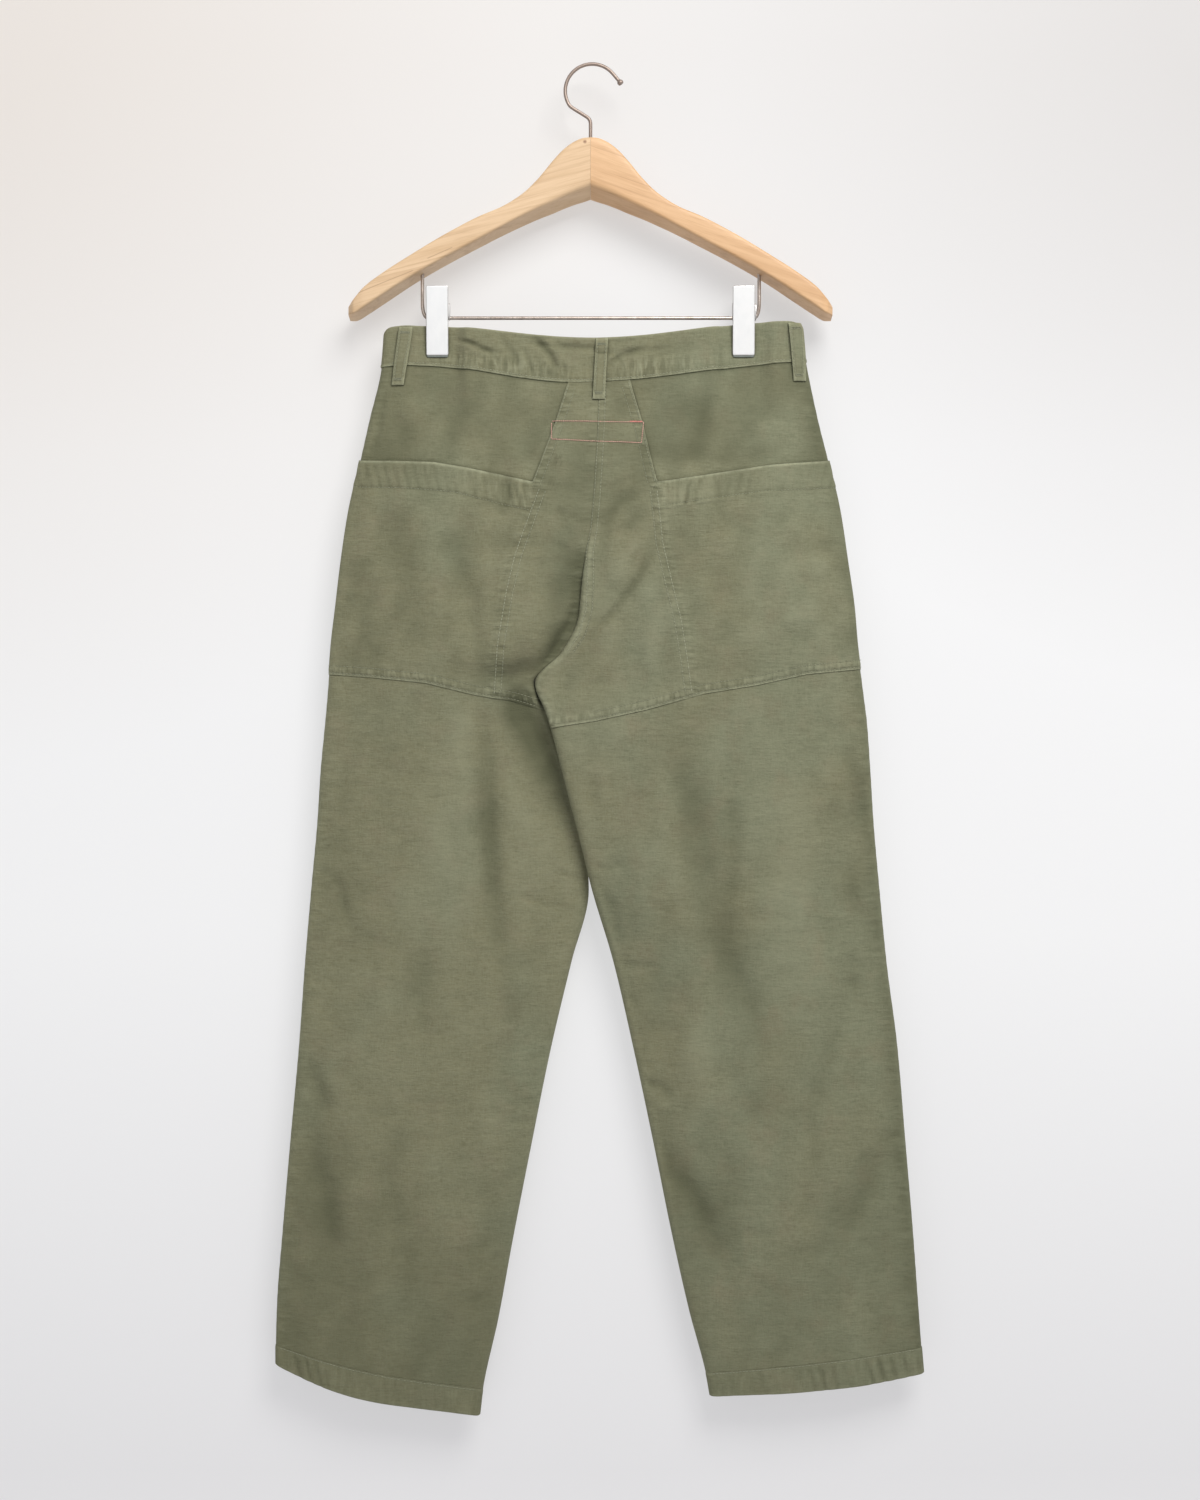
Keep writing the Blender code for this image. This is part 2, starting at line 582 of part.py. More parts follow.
def hanger_hook():
    """A stem, a bend, three quarters of a circle, and a straight end with a small ball."""
    centre_drop = HOOK_RADIUS - WIRE
    path = [(JOINT_X, 100), (JOINT_X, 75), (JOINT_X, 52), (-2.4, 49.4), (-4.6, 47.2)]
    for degrees in np.linspace(216, 40, 17):
        turn = math.radians(degrees)
        path.append((HOOK_RADIUS * math.cos(turn), centre_drop - HOOK_RADIUS * math.sin(turn)))
    run_x, run_drop = math.sin(math.radians(40)), math.cos(math.radians(40))
    ball = ((0.72, 1.0), (0.8, 1.25), (0.88, 1.5), (0.96, 1.35), (1.0, 0.8))
    last_x, last_drop = path[-1]
    path += [(last_x + run_x * HOOK_END_LENGTH * t, last_drop + run_drop * HOOK_END_LENGTH * t) for t, _ in ball]
    radii = [1.0] * (len(path) - len(ball)) + [radius for _, radius in ball]
    return wire("hanger_hook", path, radii)


def clip_bar():
    """A wire bent into a wide U, with its ends in the arms."""
    left, right = [], []
    for degrees in np.linspace(0, 90, 5):
        turn = math.radians(degrees)
        over, down = BAR_BEND * (1 - math.cos(turn)), BAR_BEND * (1 - math.sin(turn))
        left.append((BAR_LEFT + over, BAR_DROP - down))
        right.insert(0, (BAR_RIGHT - over, BAR_DROP - down))
    path = [(BAR_LEFT, BAR_TOP + 1)] + left + right + [(BAR_RIGHT, BAR_TOP + 1)]
    return wire("clip_bar", path, [1.0] * len(path))


def plate(name, x, width, facing):
    """A sheet-metal plate that leans out toward its top, with two cheeks on the bar."""
    def across(y_foot, y_top):
        return [
            (x + s * width / 2, facing * y, -drop)
            for s in (-1, 1) for y, drop in ((y_foot, PLATE_FOOT), (y_top, PLATE_TOP))
        ]

    inner = across(PLATE_FOOT_Y, PLATE_TOP_Y)
    outer = across(PLATE_FOOT_Y + PLATE_THICK, PLATE_TOP_Y + PLATE_THICK)
    faces = [[0, 1, 3, 2], [4, 6, 7, 5], [0, 4, 5, 1], [2, 3, 7, 6], [0, 2, 6, 4], [1, 5, 7, 3]]
    made = add_mesh(name, inner + outer, faces)
    y_bar = mix(PLATE_FOOT_Y, PLATE_TOP_Y, (PLATE_FOOT - BAR_DROP) / (PLATE_FOOT - PLATE_TOP))
    for sign in (-1, 1):
        depth = y_bar + 3.6 + 0.4
        centre = (x + sign * (width - CHEEK_THICK) / 2, facing * (y_bar + 0.4 - depth / 2), -BAR_DROP)
        cheek = box(f"{name}_cheek_{'a' if sign < 0 else 'b'}", centre, (CHEEK_THICK, depth, 12))
        boolean(made, cheek, "UNION")
    hole = rod(f"{name}_hole", (x - 20, 0, -BAR_DROP), (x + 20, 0, -BAR_DROP), WIRE + FIT)
    return boolean(made, hole, "DIFFERENCE")


def clip(side):
    plate(f"clip_plate_{side}", CLIPS[side], PLATE_WIDTH, -1)
    plate(f"clip_jaw_{side}", CLIPS[side], PLATE_WIDTH - JAW_NARROWER, 1)


def main():
    clear_scene()
    for side in ("left", "right"):
        panel(side, "back")
        panel(side, "front")
        overlay(f"seat_patch_{side}", side, SEAM, PATCH_CLOTH)
        overlay(f"pocket_band_{side}", side, SEAM, POCKET_BAND_CLOTH)
        waistband_front(side)
        hem(side)
        hanger_arm(side)
        clip(side)
    waistband_back()
    for row in BELT_LOOPS:
        belt_loop(*row)
    fly_flap()
    waist_button()
    hanger_hook()
    clip_bar()


main()
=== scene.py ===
"""Looks of a pair of climbing trousers that hang by the waist from a wooden clip hanger.

Sizes are in millimetres inside this script and in metres in the scene. +X runs along the hanger, -Y
looks at the garment's back and +Z is up. A "drop" is a distance down from the hook's inner top.
The cloth's form is worked out as in the solids: a point is found from u (0 at the side edge, 1 at the
inner edge) and from its level, the drop of the side edge. Finer relief is added along its normal.
"""

import math

import bpy
import numpy as np
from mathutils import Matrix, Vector


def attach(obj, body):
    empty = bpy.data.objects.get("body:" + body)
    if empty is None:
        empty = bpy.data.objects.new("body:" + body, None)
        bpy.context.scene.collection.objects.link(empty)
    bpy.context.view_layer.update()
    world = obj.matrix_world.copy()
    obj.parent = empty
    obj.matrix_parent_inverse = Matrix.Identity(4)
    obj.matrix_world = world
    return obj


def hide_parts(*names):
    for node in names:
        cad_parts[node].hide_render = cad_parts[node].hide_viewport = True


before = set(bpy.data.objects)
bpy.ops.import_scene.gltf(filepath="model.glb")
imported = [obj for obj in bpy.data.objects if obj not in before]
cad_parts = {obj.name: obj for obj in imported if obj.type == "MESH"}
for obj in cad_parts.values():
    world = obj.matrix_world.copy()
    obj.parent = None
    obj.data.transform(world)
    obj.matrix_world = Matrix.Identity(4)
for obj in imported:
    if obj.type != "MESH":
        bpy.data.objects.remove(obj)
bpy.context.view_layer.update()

MM = 0.001
SIDES, FACES = ("left", "right"), ("back", "front")
CLOTH = 2.0  # wall of a leg panel, with its seam turnings averaged in
BAND_CLOTH = 2.6  # waistband and hems
PATCH_CLOTH = 1.6
LOOP_CLOTH = 1.6
EDGE_ROUND = 4.5  # radius of the fold at a side or inner edge
SWELL = 0.5  # part of the width over which a tube fills out to its full depth
VALLEY = 38.0  # width of the dip where one half tucks behind the other at the seat seam
CENTRE_X = 6.0
WAIST_CORNER = 8.0  # radius of the waistband's top corners

COLUMNS = (
    "side_drop", "side_x", "inner_drop", "inner_x", "sag_side", "sag_inner", "depth", "open", "cross",
)
SECTIONS = {
    "left": (
        ("waist_top", 240.5, -190, 251.5, 6, -7.5, 4, 9, 1.0, 0),
        ("waist_seam", 278, -193, 292, 6, -11.5, 9, 10, 1.0, 0),
        ("label", 326, -204, 333, 5, -3, 3, 13, 1.0, 0),
        ("pocket_top", 366, -213, 378, 2, 0, 0, 17, 1.0, 0),
        ("seat_upper", 410, -223, 418, 0, 0, 0, 20, 1.0, 0),
        ("hip", 456, -230, 462, -6.5, 0, 0, 21, 0.85, 0),
        ("seat_lower", 498, -235, 507, -10.5, 0, 0, 21, 0.6, 0),
        ("fork", 532, -239, 541, -27.5, 0, 0, 20, 0.3, 0),
        ("crotch", 558, -241, 567, -53, 0, 0, 18, 0.0, 0),
        ("patch_foot", 584, -243, 593, -43, 0, 0, 17, 0.0, 6),
        ("thigh_top", 606, -245, 617, -34, 0, 0, 16, 0.0, 8.5),
        ("thigh", 648, -249, 660, -20, 0, 0, 15, 0.0, 9),
        ("thigh_low", 695, -252, 706, -7, 0, 0, 15, 0.0, 9),
        ("fork_end", 750, -257, 758, -3, 0, 0, 15, 0.0, 8),
        ("knee_up", 820, -263, 824, -19, 0, 0, 15, 0.0, 2),
        ("knee", 902, -269, 904, -38, 0, 0, 15, 0.0, 0),
        ("calf", 990, -277, 993, -56, 0, 0, 14, 0.0, 0),
        ("shin", 1072, -284, 1080, -73, 0, 0, 13, 0.0, 0),
        ("ankle", 1137, -289, 1151, -86, 3, 1, 12, 0.0, 0),
        ("hem_seam", 1175, -290, 1215, -100, 6, 3, 11.5, 0.0, 0),
        ("hem_foot", 1193, -290, 1240, -103, 15, 4, 11.5, 0.0, 0),
    ),
    "right": (
        ("waist_top", 235.5, 190, 251.5, 6, -5.0, 3.5, 9, 1.0, 0),
        ("waist_seam", 273, 196, 292, 6, -4, 3.5, 10, 1.0, 0),
        ("label", 326, 207, 333, 5, 0, 0, 13, 1.0, 0),
        ("pocket_top", 366, 217, 378, 2, 0, 0, 17, 1.0, 0),
        ("seat_upper", 410, 227, 418, 0, 0, 0, 20, 1.0, 0),
        ("hip", 456, 234, 462, -6.5, 0, 0, 21, 0.85, 0),
        ("seat_lower", 498, 240, 507, -10.5, 0, 0, 21, 0.6, 0),
        ("fork", 532, 243, 541, -27.5, 0, 0, 20, 0.3, 0),
        ("crotch", 556, 246, 567, -53, 0, 0, 18, 0.0, 0),
        ("patch_foot", 580, 249, 593, -43, 0, 0, 17, 0.0, 6),
        ("thigh_top", 604, 252, 617, -36, 0, 0, 16, 0.0, 8.5),
        ("thigh", 646, 255, 660, -25, 0, 0, 15, 0.0, 9),
        ("thigh_low", 695, 258, 706, -13, 0, 0, 15, 0.0, 9),
        ("fork_end", 752, 263, 758, 0, 0, 0, 15, 0.0, 8),
        ("knee_up", 824, 270, 822, 19, 0, 0, 15, 0.0, 2),
        ("knee", 902, 280, 904, 38, 0, 0, 15, 0.0, 0),
        ("calf", 985, 287, 989, 56, 0, 0, 14, 0.0, 0),
        ("shin", 1068, 294, 1073, 73, 0, 0, 13, 0.0, 0),
        ("ankle", 1137, 299, 1144, 89, 0, 0, 12, 0.0, 0),
        ("hem_seam", 1177, 302, 1200, 104, 1, 1, 11.5, 0.0, 0),
        ("hem_foot", 1201, 304, 1222, 108, 5, 2, 11.5, 0.0, 0),
    ),
}

# Straight folds by side and face, as x0, drop0, x1, drop1, bow, width and height.
FOLDS = {
    ("left", "back"): (
        (-102, 610, -97, 705, 0, 15, -4.0), (-97, 705, -90, 810, 0, 15, -3.5),
        (-116, 620, -110, 760, 0, 13, 2.5), (-266, 925, -240, 1085, 0, 16, -3.5),
    ),
    ("right", "back"): (
        (78, 640, 124, 830, 0, 20, -4.0), (262, 1000, 210, 1090, 0, 18, -3.0),
        (72, 1015, 122, 1090, 0, 18, -3.0),
    ),
    ("left", "front"): ((-120, 600, -110, 800, 0, 18, -3.5), (-150, 950, -190, 1090, 0, 18, -3.0)),
    ("right", "front"): ((110, 620, 140, 830, 0, 18, -3.5), (235, 980, 190, 1090, 0, 18, -3.0)),
}
PHOTO_MM = 0.9213  # millimetres to one of the photograph's pixels
PHOTO_X, PHOTO_Y = 592.0, 66.0  # the pixel where x and the drop are 0
CREASE_WIDTH = 1.105  # millimetres of a crease's reach for each pixel of its drawn width
CREASE_GAIN = 1.1
# Creases too fine for the solids, laid over the photograph. A row is a width in pixels, a
# height in millimetres (a trough where it is below 0, a ridge where it is above) and a path in pixels.
CREASES = {
    ("left", "back"): (
        # the hip and the neck of the patch
        (3.5, -1.4, (387, 385), (380, 425), (373, 456)), (7, -0.8, (402, 405), (403, 458)),
        (12, -0.9, (452, 395), (458, 455)), (14, -0.6, (500, 395), (505, 455)),
        (11, -1.3, (546, 395), (534, 455)), (3, -1.0, (548, 462), (577, 468)),
        (3, -0.9, (540, 483), (578, 492)), (3, -0.9, (552, 512), (580, 521)),
        (3, -0.8, (556, 545), (578, 556)),
        # the seat
        (5, -1.6, (506, 476), (508, 498), (497, 526)), (6, -0.8, (497, 530), (495, 592)),
        (8, -2.0, (451, 545), (474, 600), (480, 650), (484, 702)), (17, 1.4, (440, 545), (455, 682)),
        (20, -1.0, (395, 535), (402, 625)), (6, -0.9, (375, 555), (362, 635), (346, 705)),
        (7, 0.8, (517, 555), (505, 655)),
        (6.7, -3.8, (581, 560), (582, 585), (580, 603), (574, 623), (560, 645), (547, 662), (538, 678)),
        (12.7, -2.6, (564, 533), (565, 587), (560, 620), (545, 655)),
        (4, -0.9, (556, 505), (567, 532), (577, 548)), (3, -0.6, (520, 560), (552, 566)),
        # the thigh
        (7, -1.9, (484, 690), (487, 760), (488, 830), (491, 868), (498, 905), (500, 960)),
        (11, 1.4, (466, 700), (466, 795)), (26, 1.4, (438, 700), (446, 860), (455, 1000)),
        (11, 1.2, (507, 755), (528, 850), (520, 935)),
        (14, -3.8, (505, 655), (521, 705), (549, 760), (568, 825), (579, 850)),
        (13.3, -3.5, (505, 686), (520, 735)), (3.6, -3.4, (536, 684), (541, 693)),
        (7, -0.9, (345, 755), (343, 835)), (9, -0.8, (350, 690), (349, 762)),
        # the knee
        (8, -1.4, (500, 955), (508, 1000), (514, 1052)), (3.2, -1.2, (553, 869), (585, 881)),
        (3.2, -1.4, (515, 893), (542, 901), (580, 911)),
        (4.5, -1.6, (324, 868), (340, 880), (346, 907), (356, 931)), (5, -0.9, (356, 931), (402, 946)),
        (6, -0.8, (533, 905), (538, 965)), (10, -2.0, (427, 935), (421, 1000), (433, 1056)),
        (12, 1.2, (378, 955), (386, 1032)), (7, -2.2, (303, 1048), (321, 1088), (336, 1122)),
        # the shin
        (9, -1.7, (303, 1140), (320, 1166), (330, 1202), (336, 1258)),
        (11, 1.7, (342, 1083), (365, 1130), (359, 1215)),
        (9, -1.4, (364, 1084), (394, 1110), (399, 1160), (395, 1262)),
        (11.7, 1.2, (430, 1120), (440, 1240)), (3.5, -1.3, (549, 1048), (527, 1057)),
        (3.5, -1.0, (540, 1097), (503, 1101)), (3.5, -1.8, (536, 1118), (504, 1118)),
        (4, -1.1, (524, 1166), (498, 1179)), (5, -1.2, (510, 1231), (478, 1243), (440, 1252)),
        (3.5, -1.2, (512, 1248), (489, 1255)), (3.5, -1.3, (494, 1290), (470, 1293)),
    ),
    ("right", "back"): (
        # the hip
        (6, -2.3, (829, 385), (838, 452)), (22, 0.3, (748, 385), (756, 450)),
        (14, -1.2, (712, 375), (706, 455)), (3, -0.8, (612, 452), (634, 445)),
        (3, -1.0, (606, 470), (640, 458)), (3, -1.1, (604, 492), (636, 476)),
        (3.5, -1.2, (606, 516), (642, 492)), (3, -1.0, (602, 540), (630, 524)),
        # the seat
        (8, 1.4, (592, 560), (590, 600), (584, 625), (573, 643)),
        (3.4, -2.6, (653, 548), (637, 580), (612, 614), (588, 640)),
        (5.4, 1.8, (650, 528), (628, 556), (604, 592)),
        (5, -1.6, (637, 484), (616, 505), (605, 530), (602, 560), (599, 582)),
        (4, -1.2, (650, 509), (622, 536)), (7, -1.7, (688, 508), (674, 545)),
        (10, -1.2, (684, 560), (692, 615), (702, 662)), (5, -0.8, (718, 500), (719, 545)),
        (6, -1.3, (664, 612), (664, 702)), (8, 0.8, (645, 600), (650, 690)),
        (3.5, -0.9, (582, 650), (569, 676), (566, 702)), (36, 2.2, (778, 500), (800, 665)),
        (6, -1.2, (838, 640), (846, 702)),
        # the thigh
        (13, -1.2, (687, 700), (691, 800), (700, 850)), (8, -2.1, (727, 735), (733, 860), (721, 955)),
        (12, 1.6, (650, 735), (664, 860), (692, 925)), (7, -2.1, (840, 735), (857, 785), (861, 845)),
        (26, 2.0, (778, 750), (790, 900), (800, 1010)), (6, -0.9, (812, 770), (822, 800)),
        (6, -1.2, (590, 735), (592, 815)), (4, -0.9, (590, 845), (622, 838)),
        # the knee
        (8, -1.8, (721, 945), (745, 985), (757, 1035), (757, 1082)), (7, -1.1, (742, 1078), (757, 1122)),
        (3.6, -1.7, (588, 862), (606, 866), (628, 859)), (3.5, -0.8, (655, 832), (640, 850)),
        (6, -1.1, (633, 880), (628, 905), (637, 952)), (7, -2.5, (597, 886), (613, 906), (621, 950)),
        (4, -1.5, (618, 962), (658, 964)), (4, -1.3, (625, 988), (637, 1006)),
        (6, -1.6, (846, 852), (851, 885), (862, 930)), (7, -2.0, (850, 945), (853, 992)),
        (7, -2.3, (852, 992), (832, 1040), (815, 1080), (811, 1125)),
        (15, 2.0, (690, 925), (701, 1010), (690, 1100)),
        # the shin
        (3.8, -2.5, (640, 1081), (660, 1083), (673, 1096)), (5, 1.2, (650, 1096), (668, 1106)),
        (9, -2.3, (648, 1105), (667, 1160), (698, 1200), (725, 1258)),
        (7, -1.1, (811, 1115), (809, 1165)), (3.4, -1.7, (904, 1126), (880, 1138)),
        (7, -1.9, (888, 1140), (862, 1190), (835, 1250)), (14, 1.3, (690, 1010), (720, 1120)),
        (10, 1.4, (760, 1120), (755, 1240)),
    ),
    # The front faces' creases can't be seen: they are like the back's.
    ("left", "front"): (
        (12.7, -2.6, (527, 658), (540, 739), (570, 815)), (6.3, -2.0, (570, 554), (546, 609), (523, 658)),
        (5.4, -1.3, (369, 424), (360, 522)), (11, 1.4, (429, 478), (418, 630)),
        (18, 1.6, (407, 717), (399, 891), (391, 1043)), (7, -2.4, (489, 739), (470, 891), (429, 1043)),
        (3.2, -1.6, (551, 871), (579, 882)), (6.3, -2.2, (299, 1043), (331, 1108), (340, 1217)),
        (3.6, -1.5, (488, 1124), (462, 1141)), (8, -2.0, (315, 1217), (348, 1314)),
    ),
    ("right", "front"): (
        (5.4, -2.6, (646, 554), (618, 609), (585, 658)), (7, 2.0, (642, 533), (607, 592)),
        (5.4, -1.3, (818, 424), (831, 522)), (11, 1.4, (755, 478), (766, 630)),
        (22, 2.0, (804, 717), (793, 891), (798, 1043)), (7, -2.4, (695, 761), (714, 891), (733, 1021)),
        (3.2, -1.6, (594, 864), (629, 856)), (6.3, -2.2, (887, 1075), (853, 1135), (839, 1227)),
        (3.6, -1.6, (657, 1097), (683, 1110)), (8, -2.0, (679, 1217), (722, 1303)),
    ),
}

CLIPS = {"left": -142.0, "right": 139.0}
NIP_DEPTH = 1.5
NIP_REACH = 24.0
NIP_FULL, NIP_GONE = 268.0, 345.0

# Upper and lower outline of each seat patch, as (x, drop). Between its mouth and the waistband the
# patch narrows to a neck beside the centre seam.
PATCH_TOP = {
    "left": (
        (-262, 363.5), (-213, 364), (-177, 365), (-144, 367), (-111, 373), (-86, 378), (-55.4, 385),
        (-35, 331), (-23, 292), (-4, 292), (12, 292),
    ),
    "right": (
        (262, 364), (217, 364), (158, 370), (102, 379), (59.2, 385), (47, 333), (35, 290.5), (14, 292),
        (-10, 292),
    ),
}
PATCH_FOOT = {
    "left": (
        (-262, 559), (-241, 560), (-201, 563), (-152, 568), (-106, 579), (-76, 584), (-50, 591), (-20, 599),
    ),
    "right": (
        (262, 553), (247, 555), (196, 560), (151, 570), (102, 578), (48, 593), (3, 603), (-37, 609),
        (-60, 612),
    ),
}
MOUTH_STITCH = {
    "left": ((-217, 388), (-169, 390), (-127, 394), (-103, 400), (-70, 408), (-56, 411)),
    "right": ((222, 389), (158, 393), (121, 398), (64, 407)),
}
POCKET_STITCH = {
    "left": ((-48, 391), (-60, 423), (-70, 451), (-78, 485), (-86, 533), (-90, 578)),
    "right": ((59, 393), (62, 418), (64, 439), (72, 473), (81, 510), (87, 547), (91, 578)),
}
NECK_STITCH = {
    "left": ((-55.4, 385), (-35, 331), (-23, 294)),
    "right": ((59.2, 385), (47, 333), (35, 292)),
}
CENTRE_SEAM = (
    (6, 292), (4, 345), (1, 394), (-2, 427), (-6, 451), (-7, 476), (-8.5, 501), (-15, 524), (-27, 541),
)
PINK_BOX = ((-37, 329), (47, 330), (45, 349), (-37, 346), (-37, 329))
PINK_TACK = ((34, 329.4), (46.5, 329.6))
FOOT_SEWN = {"left": (-252, -46), "right": (-34, 252)}  # the x between which a patch's foot is stitched
# Rows of stitches along a patch's foot and neck, and along a pocket: how far in and how pale.
EDGE_ROWS = ((2.0, 0.3), (8.5, 0.15))
POCKET_ROWS = ((0.0, 0.7), (6.0, 0.4))
BAND_PUCKERS = {"left": 1.6, "right": 2.6}  # height of the puckers in a pocket's band
BAND_PUCKER_SHADE = {"left": 0.6, "right": 0.9}  # painted shade between the puckers

BELT_LOOP_WIDTH = 11.2
BELT_LOOPS = (
    # name, face, x_top, drop_top, x_foot, drop_foot, height under its foot, dip of its upper tack
    ("belt_loop_left", "back", -171, 241.5, -178, 295, CLOTH / 2, 0.2),
    ("belt_loop_centre", "back", 9, 252.5, 6, 309, CLOTH / 2 + PATCH_CLOTH, 1.3),
    ("belt_loop_right", "back", 185, 237.5, 190, 291, CLOTH / 2, 0.0),
    ("belt_loop_front_left", "front", -105, 246, -107, 302, CLOTH / 2, 0.6),
    ("belt_loop_front_right", "front", 105, 244, 108, 300, CLOTH / 2, 0.6),
)

FLY_WIDTH, FLY_TOP, FLY_FOOT, FLY_CORNER = 38.0, 293.0, 452.0, 30.0
FLY_SLANT = 8.0  # how far its foot lies to the left of its top
BUTTON_X, BUTTON_DROP = -9.0, 272.0

JOINT_X = -1.5
ARM = (
    # distance out from the joint, top drop, lower drop, half the thickness
    (0.15, 68, 113.5, 12.5), (6, 68.5, 116, 12.5), (14, 71.5, 119, 12.5), (24, 78.5, 123.5, 12.5),
    (34, 89, 128.5, 12.5), (48, 106, 135, 12.5), (62, 119.5, 142, 12.5), (80, 131, 151.5, 12.5),
    (102, 140.5, 163.5, 13), (133, 157, 180.5, 14), (164, 176, 198.5, 15.5),
    (190, 193, 215.5, 17), (206, 205, 226, 17), (216, 216, 232, 15), (221.5, 223, 233, 9),
)
# How much lower the back of an arm's underside is than its middle, by distance out from the joint.
UNDERSIDE_OUT, UNDERSIDE_LOWER = (0, 25, 55, 90, 150, 222), (8.5, 6.5, 4, 2, 0.5, 0.5)
UNDERSIDE_FRONT = 2.0  # how much higher its front is
GRAIN_SLOPE = {"left": 15.0, "right": -19.0}  # degrees that the grain climbs toward +X
WIRE = 1.65
HOOK_RADIUS = 24.8
HOOK_FROM, HOOK_TO = 216, 40  # degrees that its round part spans
HOOK_END_LENGTH = 12.5
HOOK_BALL = 1.75  # radius of its rounded end, in wires
BAR_DROP, BAR_LEFT, BAR_RIGHT, BAR_TOP = 232.0, -156.0, 153.5, 183.0
BAR_BEND = 12.0  # how far along the bar its bends reach
PLATE_WIDTH, PLATE_TOP, PLATE_FOOT, PLATE_THICK = 20.4, 204.0, 267.0, 1.2
PLATE_FOOT_Y, PLATE_TOP_Y = 3.6, 9.5
PLATE_CORNER = 1.6
PLATE_CROWN = 0.35  # how far its middle stands out
PAD_ABOVE, PAD_BELOW, PAD_THICK = 9.0, 1.6, 0.9  # it reaches above and below the plate's foot
CHEEK_THICK = 1.0
JAW_NARROWER = 3.0

# The photograph's view: its middle, and the height of the garment's plane that it takes in.
VIEW_X, VIEW_DROP, VIEW_HEIGHT, VIEW_DISTANCE = 7.2, 629.0, 1379.0, 2100.0


# ---- numbers -------------------------------------------------------------------------------------


def smooth(at, xs, ys):
    """A curve through the points (xs, ys) that never swings past them."""
    xs, ys = np.array(xs, float), np.array(ys, float)
    step = np.diff(ys) / np.diff(xs)
    agree = step[:-1] * step[1:]
    middle = np.where(agree > 0, 2 * agree / np.where(agree > 0, step[:-1] + step[1:], 1), 0)
    slope = np.concatenate([step[:1], middle, step[-1:]])
    k = np.clip(np.searchsorted(xs, at, "right") - 1, 0, len(xs) - 2)
    gap = xs[k + 1] - xs[k]
    t = (at - xs[k]) / gap
    start = (1 + 2 * t) * (1 - t) ** 2 * ys[k] + t * (1 - t) ** 2 * gap * slope[k]
    end = t * t * (3 - 2 * t) * ys[k + 1] + t * t * (t - 1) * gap * slope[k + 1]
    return start + end


def ease(t):
    """0 below 0, 1 above 1, and smooth between."""
    t = np.clip(t, 0, 1)
    return t * t * (3 - 2 * t)


def mix(a, b, t):
    return a + (b - a) * t


def bump(distance, width):
    """1 at distance 0, falling away over width."""
    return np.exp(-((distance / width) ** 2))


def rolled(distance):
    """Height of a rounded edge, as a part of its radius, at a distance in from the edge."""
    return np.sqrt(np.clip(1 - (1 - np.clip(distance / EDGE_ROUND, 0, 1)) ** 2, 0, 1))


def noise(x, y, cell_x, cell_y, seed):
    """Smooth noise from -1 to 1 over cells of the given size, the same on every run."""
    gx, gy = np.asarray(x / cell_x), np.asarray(y / cell_y)
    ix, iy = np.floor(gx).astype(np.int64), np.floor(gy).astype(np.int64)
    fx, fy = ease(gx - ix), ease(gy - iy)

    def corner(dx, dy):
        n = ((ix + dx) * 374761393 + (iy + dy) * 668265263 + seed * 97471) & 0xFFFFFFFF
        n = ((n ^ (n >> 13)) * 1274126177) & 0xFFFFFFFF
        return ((n ^ (n >> 16)) & 0xFFFF) / 32767.5 - 1

    return mix(mix(corner(0, 0), corner(1, 0), fx), mix(corner(0, 1), corner(1, 1), fx), fy)


def off_path(path, x, drop):
    """Distance from the path, and how far along it, for each (x, drop)."""
    best = np.full(np.broadcast(x, drop).shape, 1e9)
    along = np.zeros_like(best)
    run = 0.0
    for (x0, drop0), (x1, drop1) in zip(path, path[1:]):
        dx, dd = x1 - x0, drop1 - drop0
        length = math.hypot(dx, dd)
        t = np.clip(((x - x0) * dx + (drop - drop0) * dd) / length**2, 0, 1)
        distance = np.hypot(x - x0 - t * dx, drop - drop0 - t * dd)
        near = distance < best
        best = np.where(near, distance, best)
        along = np.where(near, run + t * length, along)
        run += length
    return best, along


def outline_drop(path, x):
    """The drop of an outline at x."""
    points = sorted(path)
    return np.interp(x, [p[0] for p in points], [p[1] for p in points])


# ---- the cloth's form ----------------------------------------------------------------------------


def section(side, level):
    """What the sections of one half say at a level, by column."""
    rows = SECTIONS[side]
    levels = [row[1] for row in rows]
    return {name: smooth(level, levels, [row[k] for row in rows]) for k, name in enumerate(COLUMNS, 1)}


def level_of(side, name):
    return next(float(row[1]) for row in SECTIONS[side] if row[0] == name)


def inner_edge_x(side, at):
    """x of the inner edge, drawn back from the other half's where one or both of them roll over."""
    one_rolled = np.minimum(1, 5 * (1 - at["open"]))
    both_rolled = 1 - np.minimum(1, 4 * at["open"])
    half_gap = 0.28 * CLOTH * (one_rolled + both_rolled)
    return at["inner_x"] + (-half_gap if side == "left" else half_gap)


def line_folds(rows, x, drop):
    """Summed height of straight folds, each fading out past its ends."""
    total = np.zeros(np.broadcast(x, drop).shape)
    for x0, drop0, x1, drop1, bow, width, height in rows:
        along_x, along_drop = x1 - x0, drop1 - drop0
        length = math.hypot(along_x, along_drop)
        t = ((x - x0) * along_x + (drop - drop0) * along_drop) / length**2
        off = ((x - x0) * along_drop - (drop - drop0) * along_x) / length
        off = off - bow * (1 - (2 * np.clip(t, 0, 1) - 1) ** 2)
        fade = ease((t + 0.35) / 0.5) * ease((1.35 - t) / 0.5)
        total = total + height * fade * bump(off, width)
    return total


